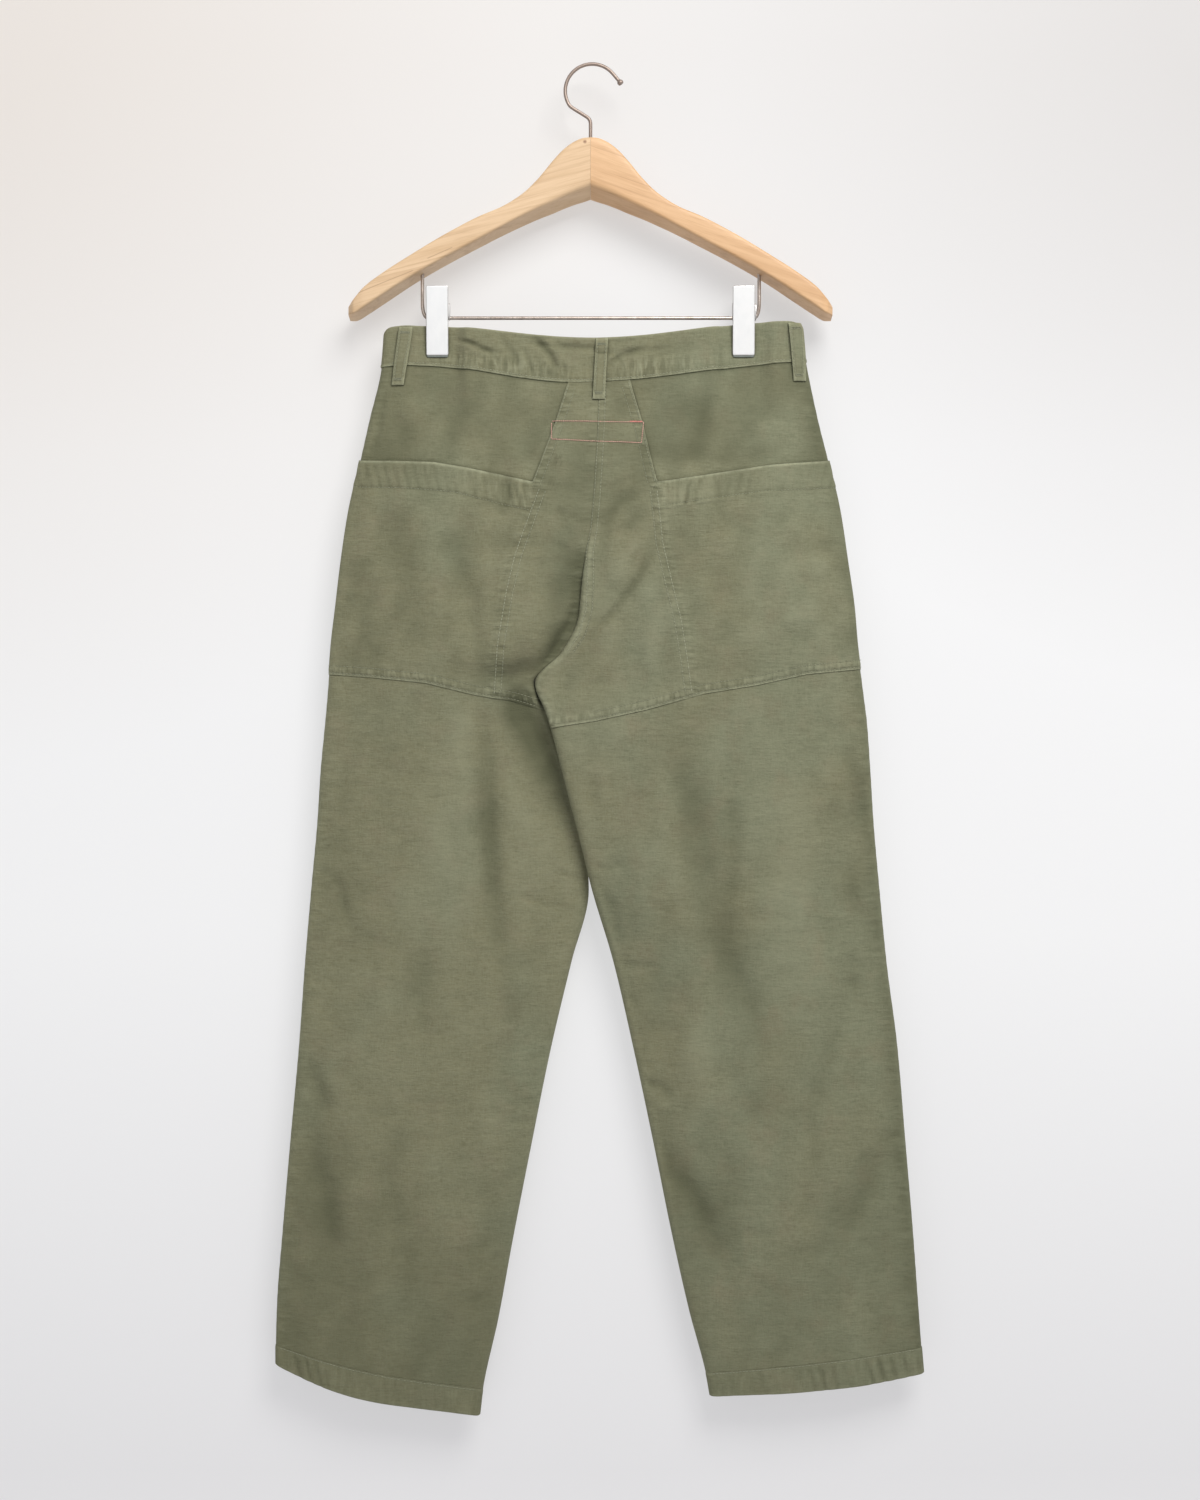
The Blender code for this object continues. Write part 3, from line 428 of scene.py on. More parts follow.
def creases(side, face, x, drop):
    """Summed height of the small creases, each fading out at its ends."""
    total = np.zeros(np.broadcast(x, drop).shape)
    for width, height, *drawn in CREASES[side, face]:
        path = [((px - PHOTO_X) * PHOTO_MM, (py - PHOTO_Y) * PHOTO_MM) for px, py in drawn]
        away, along = off_path(path, x, drop)
        length = sum(math.dist(a, b) for a, b in zip(path, path[1:]))
        fade = mix(0.25, 1, ease(along / (0.3 * length)) * ease((length - along) / (0.3 * length)))
        uneven = 1 + 0.25 * noise(x, drop, 16, 16, 90)
        total = total + height * fade * uneven * bump(away, CREASE_WIDTH * width)
    return total * mix(1, 0.8, ease((drop - 850) / 80))


def hollow_depth(side, face, u, at, width):
    """Seam plane to the middle of the cloth, before folds and clips."""
    from_side, from_inner = u * width, (1 - u) * width
    rise = at["depth"] - EDGE_ROUND
    swell_side = np.sin(math.pi / 2 * np.minimum(1, u / SWELL))
    swell_inner = np.sin(math.pi / 2 * np.minimum(1, (1 - u) / SWELL))
    joined = EDGE_ROUND * rolled(from_side) + rise * swell_side
    closed = EDGE_ROUND * rolled(from_side) * rolled(from_inner) + rise * swell_side * swell_inner
    lies_on_top = (side == "right") == (face == "back")
    if not lies_on_top:
        tucked = joined * ease(from_inner / VALLEY)
        closed = mix(closed, tucked, np.minimum(1, 4 * at["open"]))
    return mix(closed, joined, at["open"])


def clip_nip(side, x, drop):
    """1 where a clip holds the cloth flat."""
    reach = np.exp(-(((x - CLIPS[side]) / NIP_REACH) ** 6))
    return reach * ease((NIP_GONE - drop) / (NIP_GONE - NIP_FULL))


def cloth(side, face, u, level):
    """The middle of the cloth as in the solids, as an array of (x, y, z)."""
    at = section(side, level)
    inner_x = inner_edge_x(side, at)
    width = np.abs(inner_x - at["side_x"])
    x = mix(at["side_x"], inner_x, u)
    sag = np.sin(math.pi * u) * mix(at["sag_side"], at["sag_inner"], u)
    drop = mix(at["side_drop"], at["inner_drop"], u) + sag
    depth = hollow_depth(side, face, u, at, width)
    away_from_edges = ease(u * width / 25) * ease((1 - u) * width / 25)
    depth = depth + line_folds(FOLDS[side, face], x, drop) * away_from_edges
    depth = mix(depth, NIP_DEPTH, clip_nip(side, x, drop))
    plane = at["cross"] * ease((u - 0.3) / 0.7) * (1 if side == "left" else -1)
    outward = -1 if face == "back" else 1
    return np.stack([x, plane + outward * depth, -drop], axis=-1)


def place(side, face, u, level):
    """x and drop of the middle of the cloth."""
    point = cloth(side, face, u, level)
    return point[..., 0], -point[..., 2]


def edges(side, u, level):
    """How far the two halves share one hollow, and the distances from the side and inner edges."""
    at = section(side, level)
    width = np.abs(inner_edge_x(side, at) - at["side_x"])
    return at["open"], u * width, (1 - u) * width


def outward_normal(side, face, u, level):
    near = 0.0003
    far_u, near_u = np.minimum(u + near, np.maximum(u, 1)), np.maximum(u - near, 0)
    across = cloth(side, face, far_u, level) - cloth(side, face, near_u, level)
    down = cloth(side, face, u, level + 0.5) - cloth(side, face, u, level - 0.5)
    turn = (-1 if side == "left" else 1) * (1 if face == "back" else -1)
    normal = np.cross(across, down) * turn
    return normal / np.linalg.norm(normal, axis=-1, keepdims=True)


def crumpled(face, x, drop):
    """Shallow rumples, fuller over the seat than on the legs."""
    seed = {"back": 17, "front": 53}[face]
    return mix(0.3, 0.75, ease((600 - drop) / 60)) * noise(x + 0.2 * drop, drop, 15, 21, seed)


def relief(side, face, x, drop, from_side, from_inner, is_open):
    """Small creases and the cloth's gentle unevenness, in millimetres outward."""
    seed = {"back": 11, "front": 47}[face]
    soft = 1.5 * noise(x, drop, 58, 105, seed) + 0.75 * noise(x, drop, 24, 40, seed + 1)
    small = 0.32 * noise(x, drop, 13, 17, seed + 2) + 0.12 * noise(x, drop, 7, 7, seed + 3)
    where = ease(0.5 + 0.9 * noise(x, drop, 75, 60, seed + 4))
    across = 0.42 * where * noise(x + 0.25 * drop, drop, 46, 8.5, seed + 5)
    height = soft + small + across + crumpled(face, x, drop) + CREASE_GAIN * creases(side, face, x, drop)
    edge_fade = ease(from_side / 9) * mix(ease(from_inner / 9), 1, is_open)
    top_fade = ease((drop - 285) / 50)
    return height * edge_fade * mix(0.2, 1, top_fade) * (1 - clip_nip(side, x, drop))


def rise_at(side, face, u, level, base):
    """The relief's height at base, the points of the cloth at u and level."""
    is_open, from_side, from_inner = edges(side, u, level)
    return relief(side, face, base[..., 0], -base[..., 2], from_side, from_inner, is_open)


def surface(side, face, u, level, height):
    """Points at a height over the middle of the creased cloth."""
    base = cloth(side, face, u, level)
    rise = rise_at(side, face, u, level, base)
    return base + (height + rise)[..., None] * outward_normal(side, face, u, level)


def tone_at(side, face, u, level):
    """How far the cloth has gone into a fold (below 0) or stands up on one (above 0), as painted shade in
    its folds and painted highlight on its ridges.
    """
    base = cloth(side, face, u, level)
    rise = rise_at(side, face, u, level, base)
    x, drop = base[..., 0], -base[..., 2]
    return (rise + 0.6 * line_folds(FOLDS[side, face], x, drop)) / 3.5 + 0.5 * crumpled(face, x, drop)


def find(side, x, drop):
    """u and level of the cloth at (x, drop), closed in on step by step."""
    level = np.array(drop, float)
    for _ in range(10):
        at = section(side, level)
        inner_x = inner_edge_x(side, at)
        u = np.clip((x - at["side_x"]) / (inner_x - at["side_x"]), 0, 1)
        level = level + 0.9 * (drop + cloth(side, "back", u, level)[..., 2])
    return u, level


def skin(face, x, drop, height):
    """A point at a height over the middle of the cloth, on whichever half x falls."""
    x, drop, height = np.broadcast_arrays(np.asarray(x, float), np.asarray(drop, float), height)
    found = {}
    for side in SIDES:
        u, level = find(side, x, drop)
        found[side] = surface(side, face, u, level, height)
    centre = smooth(drop, [row[3] for row in SECTIONS["left"]], [row[4] for row in SECTIONS["left"]])
    return np.where((x < centre)[..., None], found["left"], found["right"])


def walk(x, drop, step):
    """x after a step along the cloth, which rolls round near the side edge."""
    side = "left" if x < CENTRE_X else "right"
    edge_x = smooth(drop, [row[1] for row in SECTIONS[side]], [row[2] for row in SECTIONS[side]])
    inward = 1 if side == "left" else -1
    extra = EDGE_ROUND * (math.pi / 2 - 1)
    distance = (x - edge_x) * inward
    turn = np.arccos(np.clip(1 - distance / EDGE_ROUND, -1, 1))
    arc = np.where(distance < EDGE_ROUND, EDGE_ROUND * turn, distance + extra) + inward * step
    rolled_in = EDGE_ROUND * (1 - np.cos(np.clip(arc / EDGE_ROUND, 0, math.pi / 2)))
    return edge_x + inward * np.where(arc < EDGE_ROUND * math.pi / 2, rolled_in, arc - extra)


# ---- meshes --------------------------------------------------------------------------------------


def add_mesh(name, points, quads, slot, replaces=(), **values):
    """A smooth closed body. values are one number for each point, kept as attributes."""
    points, quads = np.asarray(points, np.float64) * MM, np.asarray(quads, np.int32)
    middle = points[quads[:, 0]]
    turned = np.cross(points[quads[:, 1]] - middle, points[quads[:, 2]] - middle)
    if np.einsum("ij,ij->", turned, middle - points.mean(axis=0)) < 0:
        quads = quads[:, ::-1]
    mesh = bpy.data.meshes.new(name)
    mesh.vertices.add(len(points))
    mesh.vertices.foreach_set("co", points.astype(np.float32).ravel())
    mesh.loops.add(quads.size)
    mesh.loops.foreach_set("vertex_index", np.ascontiguousarray(quads).ravel())
    mesh.polygons.add(len(quads))
    mesh.polygons.foreach_set("loop_start", np.arange(0, quads.size, 4, dtype=np.int32))
    mesh.update(calc_edges=True)
    mesh.validate()
    mesh.polygons.foreach_set("use_smooth", np.ones(len(mesh.polygons), bool))
    for key, numbers in values.items():
        numbers = np.asarray(numbers, np.float32)
        kind = "FLOAT_VECTOR" if numbers.ndim == 2 else "FLOAT"
        layer = mesh.attributes.new(key, kind, "POINT")
        layer.data.foreach_set("vector" if numbers.ndim == 2 else "value", numbers.ravel())
    made = bpy.data.objects.new(name, mesh)
    bpy.context.scene.collection.objects.link(made)
    made.data.materials.append(MATERIALS[slot])
    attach(made, "root")
    if replaces:
        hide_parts(*replaces)
    return made


def side_quads(rings, around):
    """Faces between rings of points."""
    index = np.arange(rings * around).reshape(rings, around)
    following = np.roll(index, -1, axis=1)
    return np.stack([index[:-1], following[:-1], following[1:], index[1:]], -1).reshape(-1, 4)


def tube_quads(rings, around):
    """Faces between rings of points, with both ends closed."""
    caps = []
    for first in (0, (rings - 1) * around):
        end = first + np.arange(around)
        caps += [(end[k], end[k + 1], end[-2 - k], end[-1 - k]) for k in range(around // 2 - 1)]
    return np.concatenate([side_quads(rings, around), caps])


def wall_quads(rows, cols, joined):
    """Faces of a wall between two grids, closed at its edges, or joined into a ring."""
    index = np.arange(rows * cols).reshape(rows, cols)
    if joined:
        index = np.concatenate([index, index[:, :1]], axis=1)
    far = index + rows * cols
    front = np.stack([index[:-1, :-1], index[:-1, 1:], index[1:, 1:], index[1:, :-1]], -1).reshape(-1, 4)
    back = np.stack([far[:-1, :-1], far[1:, :-1], far[1:, 1:], far[:-1, 1:]], -1).reshape(-1, 4)
    edges = [(index[0], far[0]), (index[-1][::-1], far[-1][::-1])]
    if not joined:
        edges += [(index[:, -1], far[:, -1]), (index[::-1, 0], far[::-1, 0])]
    rims = [np.stack([a[1:], a[:-1], b[:-1], b[1:]], -1) for a, b in edges]
    return np.concatenate([front, back, *rims])


def wall(name, outer, inner, replaces=(), slot="olive_cotton", joined=False, **looks):
    """A sheet of cloth between two grids of points. looks are numbers on its outer face."""
    rows, cols = outer.shape[:2]
    points = np.concatenate([outer.reshape(-1, 3), inner.reshape(-1, 3)])
    inside = np.zeros(rows * cols)
    values = {
        key: np.concatenate([np.ravel(v + np.zeros((rows, cols))), inside]) for key, v in looks.items()
    }
    return add_mesh(name, points, wall_quads(rows, cols, joined), slot, replaces, **values)


def spread(start, end, count, near, far=None):
    """Rows from start to end, closer together at both, as an array of one more axis."""
    start, end = np.asarray(start, float)[None], np.asarray(end, float)[None]
    column = [-1] + [1] * (start.ndim - 1)
    near, far = (np.array(steps, float).reshape(column) for steps in (near, far or near))
    t = np.linspace(0, 1, count + 2)[1:-1].reshape(column)
    return np.concatenate([start + near, mix(start + near[-1], end - far[-1], t), end - far[::-1]])


EDGE_STEPS = (0, 0.12, 0.35, 0.7, 1.15, 1.7, 2.4, 3.2, 4.5, 6.2)


def columns(side, level, count):
    """u for each level and column, closer together round the folded edges."""
    at = section(side, level)
    width = np.abs(inner_edge_x(side, at) - at["side_x"])
    return spread(np.zeros_like(width), width, count, EDGE_STEPS).T / width[:, None]


def grid(side, levels, count):
    """u and level of each point of a piece that goes from edge to edge."""
    u = columns(side, levels, count)
    return u, levels[:, None] * np.ones_like(u)


# ---- garment pieces ------------------------------------------------------------------------------


def roping(along, drop, pitch, seed):
    """The twist that stitching puts in an edge: soft ridges at an uneven pitch."""
    phase = 2 * math.pi * along / pitch + 2.2 * noise(along, drop, 38, 60, seed)
    strength = 0.55 + 0.45 * noise(along, drop, 55, 90, seed + 1)
    return np.sin(phase) * strength


SHADE_PATH = (
    (-4, 425), (-9, 470), (-18, 510), (-34, 545), (-63, 572), (-66, 600), (-48, 640), (-30, 690),
    (-16, 725),
)
SHADE_LENGTH = sum(math.dist(a, b) for a, b in zip(SHADE_PATH, SHADE_PATH[1:]))


def shade(side, x, drop, from_side):
    """Painted light over the right seat, painted shade along its side seam, and painted shadow where the
    left half dips under it.
    """
    if side == "right":
        on_seat = bump(np.hypot((x - 30) / 60, (drop - 520) / 70), 1)
        return 0.55 * on_seat - 0.9 * bump(from_side, 13)
    away, along = off_path(SHADE_PATH, x, drop)
    return -1.05 * bump(away, 18) * ease(along / 30) * ease((SHADE_LENGTH - along) / 120)


def puckers(along, pitch, seed):
    """Narrow troughs between broad swells, as a row of stitches pulls them into cloth."""
    phase = 2 * math.pi * along / pitch + 3.0 * noise(along, 0 * along, 30, 60, seed)
    depth = np.clip(0.5 + 0.8 * noise(along, 0 * along, 17, 60, seed + 1), 0, 1)
    return 0.25 - depth * np.exp(-1.3 * (1 - np.cos(phase)))


PANEL_ROWS = {"back": 290, "front": 190}
PANEL_COLUMNS = {"back": 96, "front": 64}
SHIN_PAINTED_SHADE = {"left": 1.0, "right": 0.75}  # painted shade: how far the cloth darkens below the knee


def panel(side, face):
    """One leg panel, from the waistband down to the hem."""
    top, foot = level_of(side, "waist_seam"), level_of(side, "hem_seam")
    between = np.linspace(top + 6, foot - 4, PANEL_ROWS[face])
    ends = top + np.array([0, 0.6, 1.5, 3]), foot - np.array([2.4, 1.2, 0.5, 0])
    levels = np.concatenate([ends[0], between, ends[1]])
    u, level = grid(side, levels, PANEL_COLUMNS[face])
    is_open, from_side, from_inner = edges(side, u, level)
    x, drop = place(side, face, u, level)
    seam = bump(from_side, 1.0) + bump(from_inner, 1.0) * (is_open > 0.5)
    pull = 0.22 * roping(drop, from_side, 13, 5) * bump(from_side - 6, 7)
    outer = surface(side, face, u, level, CLOTH / 2 - 0.35 * seam + pull)
    inner = surface(side, face, u, level, -CLOTH / 2 + pull)
    wear = 0.5 * bump(from_side, 2.5) + 0.35 * bump(from_inner, 2.0) * (1 - is_open)
    # painted shadow: a dark line just under the waistband
    wear = wear - 0.55 * bump(level - top - 0.4, 1.2)
    # painted shading of the folds, and painted shade deepening down the leg
    tone = tone_at(side, face, u, level) - SHIN_PAINTED_SHADE[side] * ease((drop - 900) / 320)
    # back only: painted light and shade from shade(), and painted shade above the pocket mouths
    if face == "back":
        tone = tone + shade(side, x, drop, from_side) - 0.75 * ease((372 - drop) / 12)
    gather = 0.25 * bump(from_side - 7, 7)
    made = wall(f"cloth_{face}_{side}", outer, inner, [f"{face}_{side}"],
                wear=wear, tone=tone, upright=gather)


def patch_height(side, x, drop):
    """Height of a seat patch's face over the panel under it, its worn edges with painted highlight and
    shade, its gathers, and the painted shade between its puckers.
    """
    mouth = [p for p in PATCH_TOP[side] if p[1] > 360]
    paths = (PATCH_FOOT[side], mouth, NECK_STITCH[side], MOUTH_STITCH[side])
    from_foot, from_mouth, from_neck, from_band = (off_path(path, x, drop)[0] for path in paths)
    from_pocket, along_pocket = off_path(POCKET_STITCH[side], x, drop)
    from_centre = np.abs(x)
    inward = ease((135 - from_centre) / 50)
    in_band = ease((26 - from_mouth) / 2) * ease((from_centre - 52) / 6) * (drop < 412)

    height = PATCH_CLOTH * ease((from_foot + 0.9) / 1.5) * ease((from_neck + 0.9) / 1.5)
    height = height * mix(0.25, 1, ease((drop - 293) / 9)) * mix(0.5, 1, ease(from_foot / 5))
    height = height + 0.55 * in_band * ease(from_band / 1.6)
    height = height - 0.25 * bump(from_band, 1.3) * (from_mouth > 12)
    for offset, _ in EDGE_ROWS:
        height = height - 0.3 * bump(from_foot - offset, 1.0) - 0.22 * bump(from_neck - offset, 0.9)
    for offset, _ in POCKET_ROWS:
        height = height - 0.28 * bump(from_pocket - offset, 0.9)

    foot_rope = roping(x, 0 * x, 4.8, 21) * bump(from_foot - 5.2, 3.6)
    band_rope = puckers(x + 0.25 * drop * np.sign(x), 8.8, 23) * in_band * ease((from_mouth - 1.5) / 5)
    band_rope = band_rope * (0.35 + 0.65 * inward)
    neck_rope = roping(drop, 0 * x, 7.5, 25) * bump(from_neck - 5, 4) * (drop < 390)
    pocket_rope = roping(along_pocket, 0 * x, 8.5, 27) * bump(from_pocket - 3, 4.5)
    height = height + 0.3 * foot_rope + BAND_PUCKERS[side] * band_rope
    height = height + 0.18 * neck_rope + 0.3 * pocket_rope
    height = height + 0.5 * bump(from_neck - 0.9, 1.4) * (drop < 386)
    fullness = ease((from_centre - 70) / 40)
    height = height + 0.9 * bump(from_mouth, 9) * fullness * ease((225 - from_centre) / 30)

    wear = bump(from_mouth - 0.7, 1.4) + 0.7 * bump(from_foot - 0.9, 1.3)
    wear = wear + 0.7 * bump(from_neck - 0.8, 1.1)
    wear = wear + 0.12 * (bump(from_pocket, 1.1) + bump(from_pocket - 6, 1.1))
    wear = wear + 0.15 * bump(from_foot - 6, 5)
    # painted highlight and shade on the puckers, and painted shade along the band's stitching
    wear = wear + 0.1 * (foot_rope + band_rope + neck_rope + 0.5 * pocket_rope)
    wear = wear - 0.12 * bump(from_band, 1.3) * (from_mouth > 12) + 0.45 * band_rope
    level_gather = 0.65 * bump(from_foot - 5.0, 4.5) + 0.4 * in_band * (0.3 + 0.7 * inward)
    upright_gather = 0.6 * bump(from_neck - 5, 4.5) * (drop < 392) + 0.6 * bump(from_pocket - 3, 5)
    # painted shade in the troughs of the band's and the foot's puckers
    pucker_shade = BAND_PUCKER_SHADE[side] * band_rope + 0.3 * foot_rope
    return height, wear, level_gather, upright_gather, pucker_shade


def level_at(side, u, path, steps=14):
    """The level at which the cloth's column u meets an outline."""
    level = np.full(u.shape, 450.0)
    for _ in range(steps):
        x, drop = place(side, "back", u, level)
        level = level + 0.85 * (outline_drop(path, x) - drop)
    return level


def centre_seam(side, drop, from_inner):
    """Relief and worn look of the felled seam between the two halves, whose turning lies on the right one;
    its rolled edge is partly painted highlight.
    """
    if side == "left":
        height = -0.1 * bump(from_inner, 0.7) - 0.15 * bump(from_inner - 2.2, 0.7)
        return height, 0.05 * bump(from_inner - 2, 2.5) + 0 * drop
    rope = roping(drop, 0 * drop, 7.5, 71) * bump(from_inner - 5, 4.5)
    height = 0.4 * ease((from_inner + 0.4) / 2.2) * ease((9.2 - from_inner) / 1.2)
    height = height - 0.22 * bump(from_inner - 2.0, 0.7) - 0.22 * bump(from_inner - 7.4, 0.7)
    # the pale rolled edge: partly worn, partly painted highlight
    edge_worn_and_lit = 0.55 * bump(from_inner - 2.8, 1.9) * ease((drop - 420) / 40)
    return height + 0.16 * rope, 0.12 * bump(from_inner - 5, 4.5) + 0.08 * rope + edge_worn_and_lit


PATCH_WIDTH = 240.0
TOP_STEPS = (0, 0.3, 0.7, 1.2, 1.8, 2.6, 3.6, 5, 7, 9.5, 12.5, 15.5, 18.5, 21, 22.6, 23.8, 24.8, 26, 28)
FOOT_STEPS = (0, 0.3, 0.7, 1.2, 1.8, 2.4, 3.1, 4.2, 5.6, 7.2, 8.2, 9.2, 10.6, 12.5)


def patch_grid(side):
    """u and level of each point of a patch, closer together at its edges and seams."""
    edge = np.array(EDGE_STEPS + (8.0, 9.3)) / PATCH_WIDTH
    seam_end = 1 - 0.06 / PATCH_WIDTH
    between = np.linspace(edge[-1], seam_end - edge[-1], 150)[1:-1]
    u = np.concatenate([edge, between, seam_end - edge[::-1]])
    top, foot = level_at(side, u, PATCH_TOP[side]), level_at(side, u, PATCH_FOOT[side])
    level = spread(top, foot, 92, TOP_STEPS, FOOT_STEPS)
    tucked_under = 0.007 * section(side, level)["open"] ** 6 if side == "left" else 0.0
    return u * (1 + tucked_under), level


def seat_patch(side):
    """The patch over seat and thigh, with the pocket's turned mouth and the neck up to the waistband."""
    u, level = patch_grid(side)
    x, drop = place(side, "back", u, level)
    height, wear, level_gather, upright_gather, pucker_shade = patch_height(side, x, drop)
    is_open, from_side, from_inner = edges(side, u, level)
    thinned = ease((from_inner + 0.5) / 2.4)
    height = height * ease((from_side + 0.6) / 2.2) * mix(thinned, 1, is_open)
    seam_height, seam_wear = centre_seam(side, drop, from_inner)
    height = height + seam_height
    wear = wear + seam_wear + 0.45 * bump(from_side, 2.5)
    upright_gather = upright_gather + 0.4 * bump(from_inner - 5, 5)
    # painted shading: folds, painted shade on the neck beside the centre seam and between the band's
    # puckers, shade(), and a little painted shade all over
    tone = tone_at(side, "back", u, level) - 0.45 * ease((58 - np.abs(x)) / 8) * ease((450 - drop) / 70)
    tone = tone + pucker_shade + shade(side, x, drop, from_side) - (0.15 if side == "left" else 0.1)
    outer = surface(side, "back", u, level, CLOTH / 2 + height)
    inner = surface(side, "back", u, level, CLOTH / 2 - 0.35 + 0 * height)
    made = wall(f"cloth_seat_patch_{side}", outer, inner, [f"seat_patch_{side}", f"pocket_band_{side}"],
                wear=wear, tone=tone, level=level_gather, upright=upright_gather)


# Folds of the waistband, in the same form as FOLDS.
WAIST_FOLDS = {
    ("left", "back"): (
        (-120, 254, -108, 257, 0.5, 1.8, -1.2), (-112, 262, -84, 266, 1, 2.2, -1.0),
        (-70, 251, -34, 254, 0.5, 1.8, -0.8), (-62, 264, -55, 285, 0.5, 2.2, -1.0),
        (-45, 276, -40, 288, 0.5, 2.0, -0.9), (-132, 252, -100, 262, 1.5, 2.2, -2.0),
        (-130, 257, -99, 267, 1.5, 3.5, 1.0), (-98, 262, -87, 273, 1, 3, -1.3),
        (-85, 250, -72, 271, 1, 4, -1.1), (-74, 263, -66, 282, 0, 3, -0.9),
        (-50, 255, -34, 277, 1.5, 3.2, -2.6), (-43, 254, -25, 276, 2, 4.5, 1.3),
        (-50, 257, -1, 261, -1, 3.0, -2.0), (-24, 279, -28, 290, 0, 3, -1.1),
    ),
    ("right", "back"): (
        (16, 256, 40, 254, 0.5, 2.0, -0.8), (22, 268, 30, 284, 0.5, 2.2, -0.9),
        (62, 268, 96, 262, 0.5, 2.2, -0.7), (11, 275, 26, 263, 0, 3, 1.2),
        (17, 274, 44, 262, 1, 3, -1.6), (6, 266, 63, 262, -1, 3, -1.2),
        (52, 272, 92, 256, 2, 6, -0.9),
    ),
    ("left", "front"): ((-80, 262, -20, 264, 2, 5, -1.6), (-60, 252, -40, 278, 2, 5, -1.4)),
    ("right", "front"): ((20, 262, 80, 258, 2, 5, -1.6),),
}


def band_height(side, face, x, drop, from_top, from_foot):
    """Height of the waistband's face, its worn edges with painted shading on its puckers, the lift of both
    its sides, its folds and gathers.
    """
    free = 1 - clip_nip(side, x, drop)
    folds = line_folds(WAIST_FOLDS[side, face], x, drop) * free
    gathered = 0.35 + bump(x + 70, 42) + bump(x - 52, 34)
    rope = gathered * roping(x, 0 * x, 6.4, 31) * bump(from_foot - 7, 7)
    rope = rope + 0.5 * roping(x, 0 * x, 13, 33) * bump(from_top - 5, 6)
    height = BAND_CLOTH / 2 - 0.9 * bump(from_top, 0.5) - 0.15 * bump(from_foot, 0.4)
    height = height + 0.5 * ease((13 - from_foot) / 9) * ease(np.minimum(x + 196, 200 - x) / 12)
    height = height + 0.3 * bump(from_foot - 1.6, 1.4) - 0.22 * bump(from_foot - 3.4, 0.8)
    height = height + folds + 0.22 * rope * free
    wear = 0.6 * bump(from_top, 1.6) + 0.75 * bump(from_foot - 0.5, 1.1) + 0.12 * rope
    return height, wear, folds + 0.22 * rope * free, folds, 0.8 * gathered * bump(from_foot - 8, 9)


def band_half(side, face, count):
    """One half of the waistband on one face: its two sides, its worn edges, the painted shade of its folds,
    and gathers.
    """
    top, foot = level_of(side, "waist_top"), level_of(side, "waist_seam")
    levels = spread(top, foot, 26, (0, 0.2, 0.6, 1.2, 2.2), (0, 0.2, 0.6, 1.2, 2.2, 3.4))
    u, level = grid(side, levels, count)
    x, drop = place(side, face, u, level)
    height, wear, lift, folds, gather = band_height(side, face, x, drop, level - top, foot - level)
    outer = surface(side, face, u, level, height)
    inner = surface(side, face, u, level, -BAND_CLOTH / 2 + 0.9 * bump(level - top, 0.5) + lift)
    at = section(side, level)
    from_side = u * np.abs(at["inner_x"] - at["side_x"])
    from_top = np.clip(1 - (level - top) / WAIST_CORNER, 0, 1)
    turned_in = WAIST_CORNER * (1 - np.sqrt(1 - np.minimum(from_top, 0.999) ** 2)) * bump(from_side, 13)
    for points in (outer, inner):
        points[..., 0] += turned_in * (1 if side == "left" else -1)
    # folds / 3 is painted shade in the band's folds
    return outer, inner, wear, folds / 3.0, gather


def waistband_back():
    halves = {side: band_half(side, "back", 130) for side in SIDES}
    outer, inner, wear, tone, gather = (
        np.concatenate([halves["left"][k], halves["right"][k][:, -2::-1]], axis=1) for k in range(5)
    )
    made = wall("cloth_waistband_back", outer, inner, ["waistband_back"],
                wear=wear, tone=tone, level=gather)


def waistband_front(side):
    outer, inner, wear, tone, gather = band_half(side, "front", 80)
    made = wall(f"cloth_waistband_front_{side}", outer, inner, [f"waistband_front_{side}"],
                wear=wear, tone=tone, level=gather)


def hem(side):
    """The turned-up end of a leg, all the way round it."""
    top, foot = level_of(side, "hem_seam"), level_of(side, "hem_foot")
    levels = spread(top, foot, 14, (0, 0.25, 0.6, 1.1, 1.8), (0, 0.1, 0.3, 0.7, 1.3, 2.2))
    walls = {"outer": [], "inner": [], "wear": [], "tone": []}
    for face in FACES:
        u, level = grid(side, levels, 100)
        _, from_side, from_inner = edges(side, u, level)
        keep = ease(from_side / 9) * ease(from_inner / 9)
        slant = place(side, face, u, level)[0] - 0.3 * (level - top)
        rope = puckers(slant, 11.5, 44) * ease((level - top) / 6) * keep
        rope = rope * (0.7 if side == "left" else mix(0.4, 1, ease((slant - 180) / 50)))
        turned = 0.85 * bump(foot - level, 0.45)
        height = mix(CLOTH, BAND_CLOTH, ease((level - top - 0.3) / 1.6)) / 2 - turned
        walls["outer"].append(surface(side, face, u, level, height + 1.3 * rope))
        walls["inner"].append(surface(side, face, u, level, -BAND_CLOTH / 2 + turned + 1.3 * rope))
        # painted shading: paler and darker with the puckers, and painted shade over the whole hem
        walls["wear"].append(0.5 * bump(foot - level, 1.4) + 0.3 * bump(level - top - 1, 1.2) + 0.3 * rope)
        walls["tone"].append(0.7 * rope - (0.9 if side == "left" else 0.6))
    outer, inner, wear, tone = (np.concatenate([a[0], a[1][:, -2:0:-1]], axis=1) for a in walls.values())
    made = wall(f"cloth_hem_{side}", outer, inner, [f"hem_{side}"],
                joined=True, wear=wear, tone=tone, level=0.2)


def loop_lift(t, dip):
    """How far a loop stands off along its length: tacked near its top and at its foot."""
    return 0.15 + 1.7 * ease(t / 0.12) * ease((1 - t) / 0.3) - dip * bump(t - 0.22, 0.05)


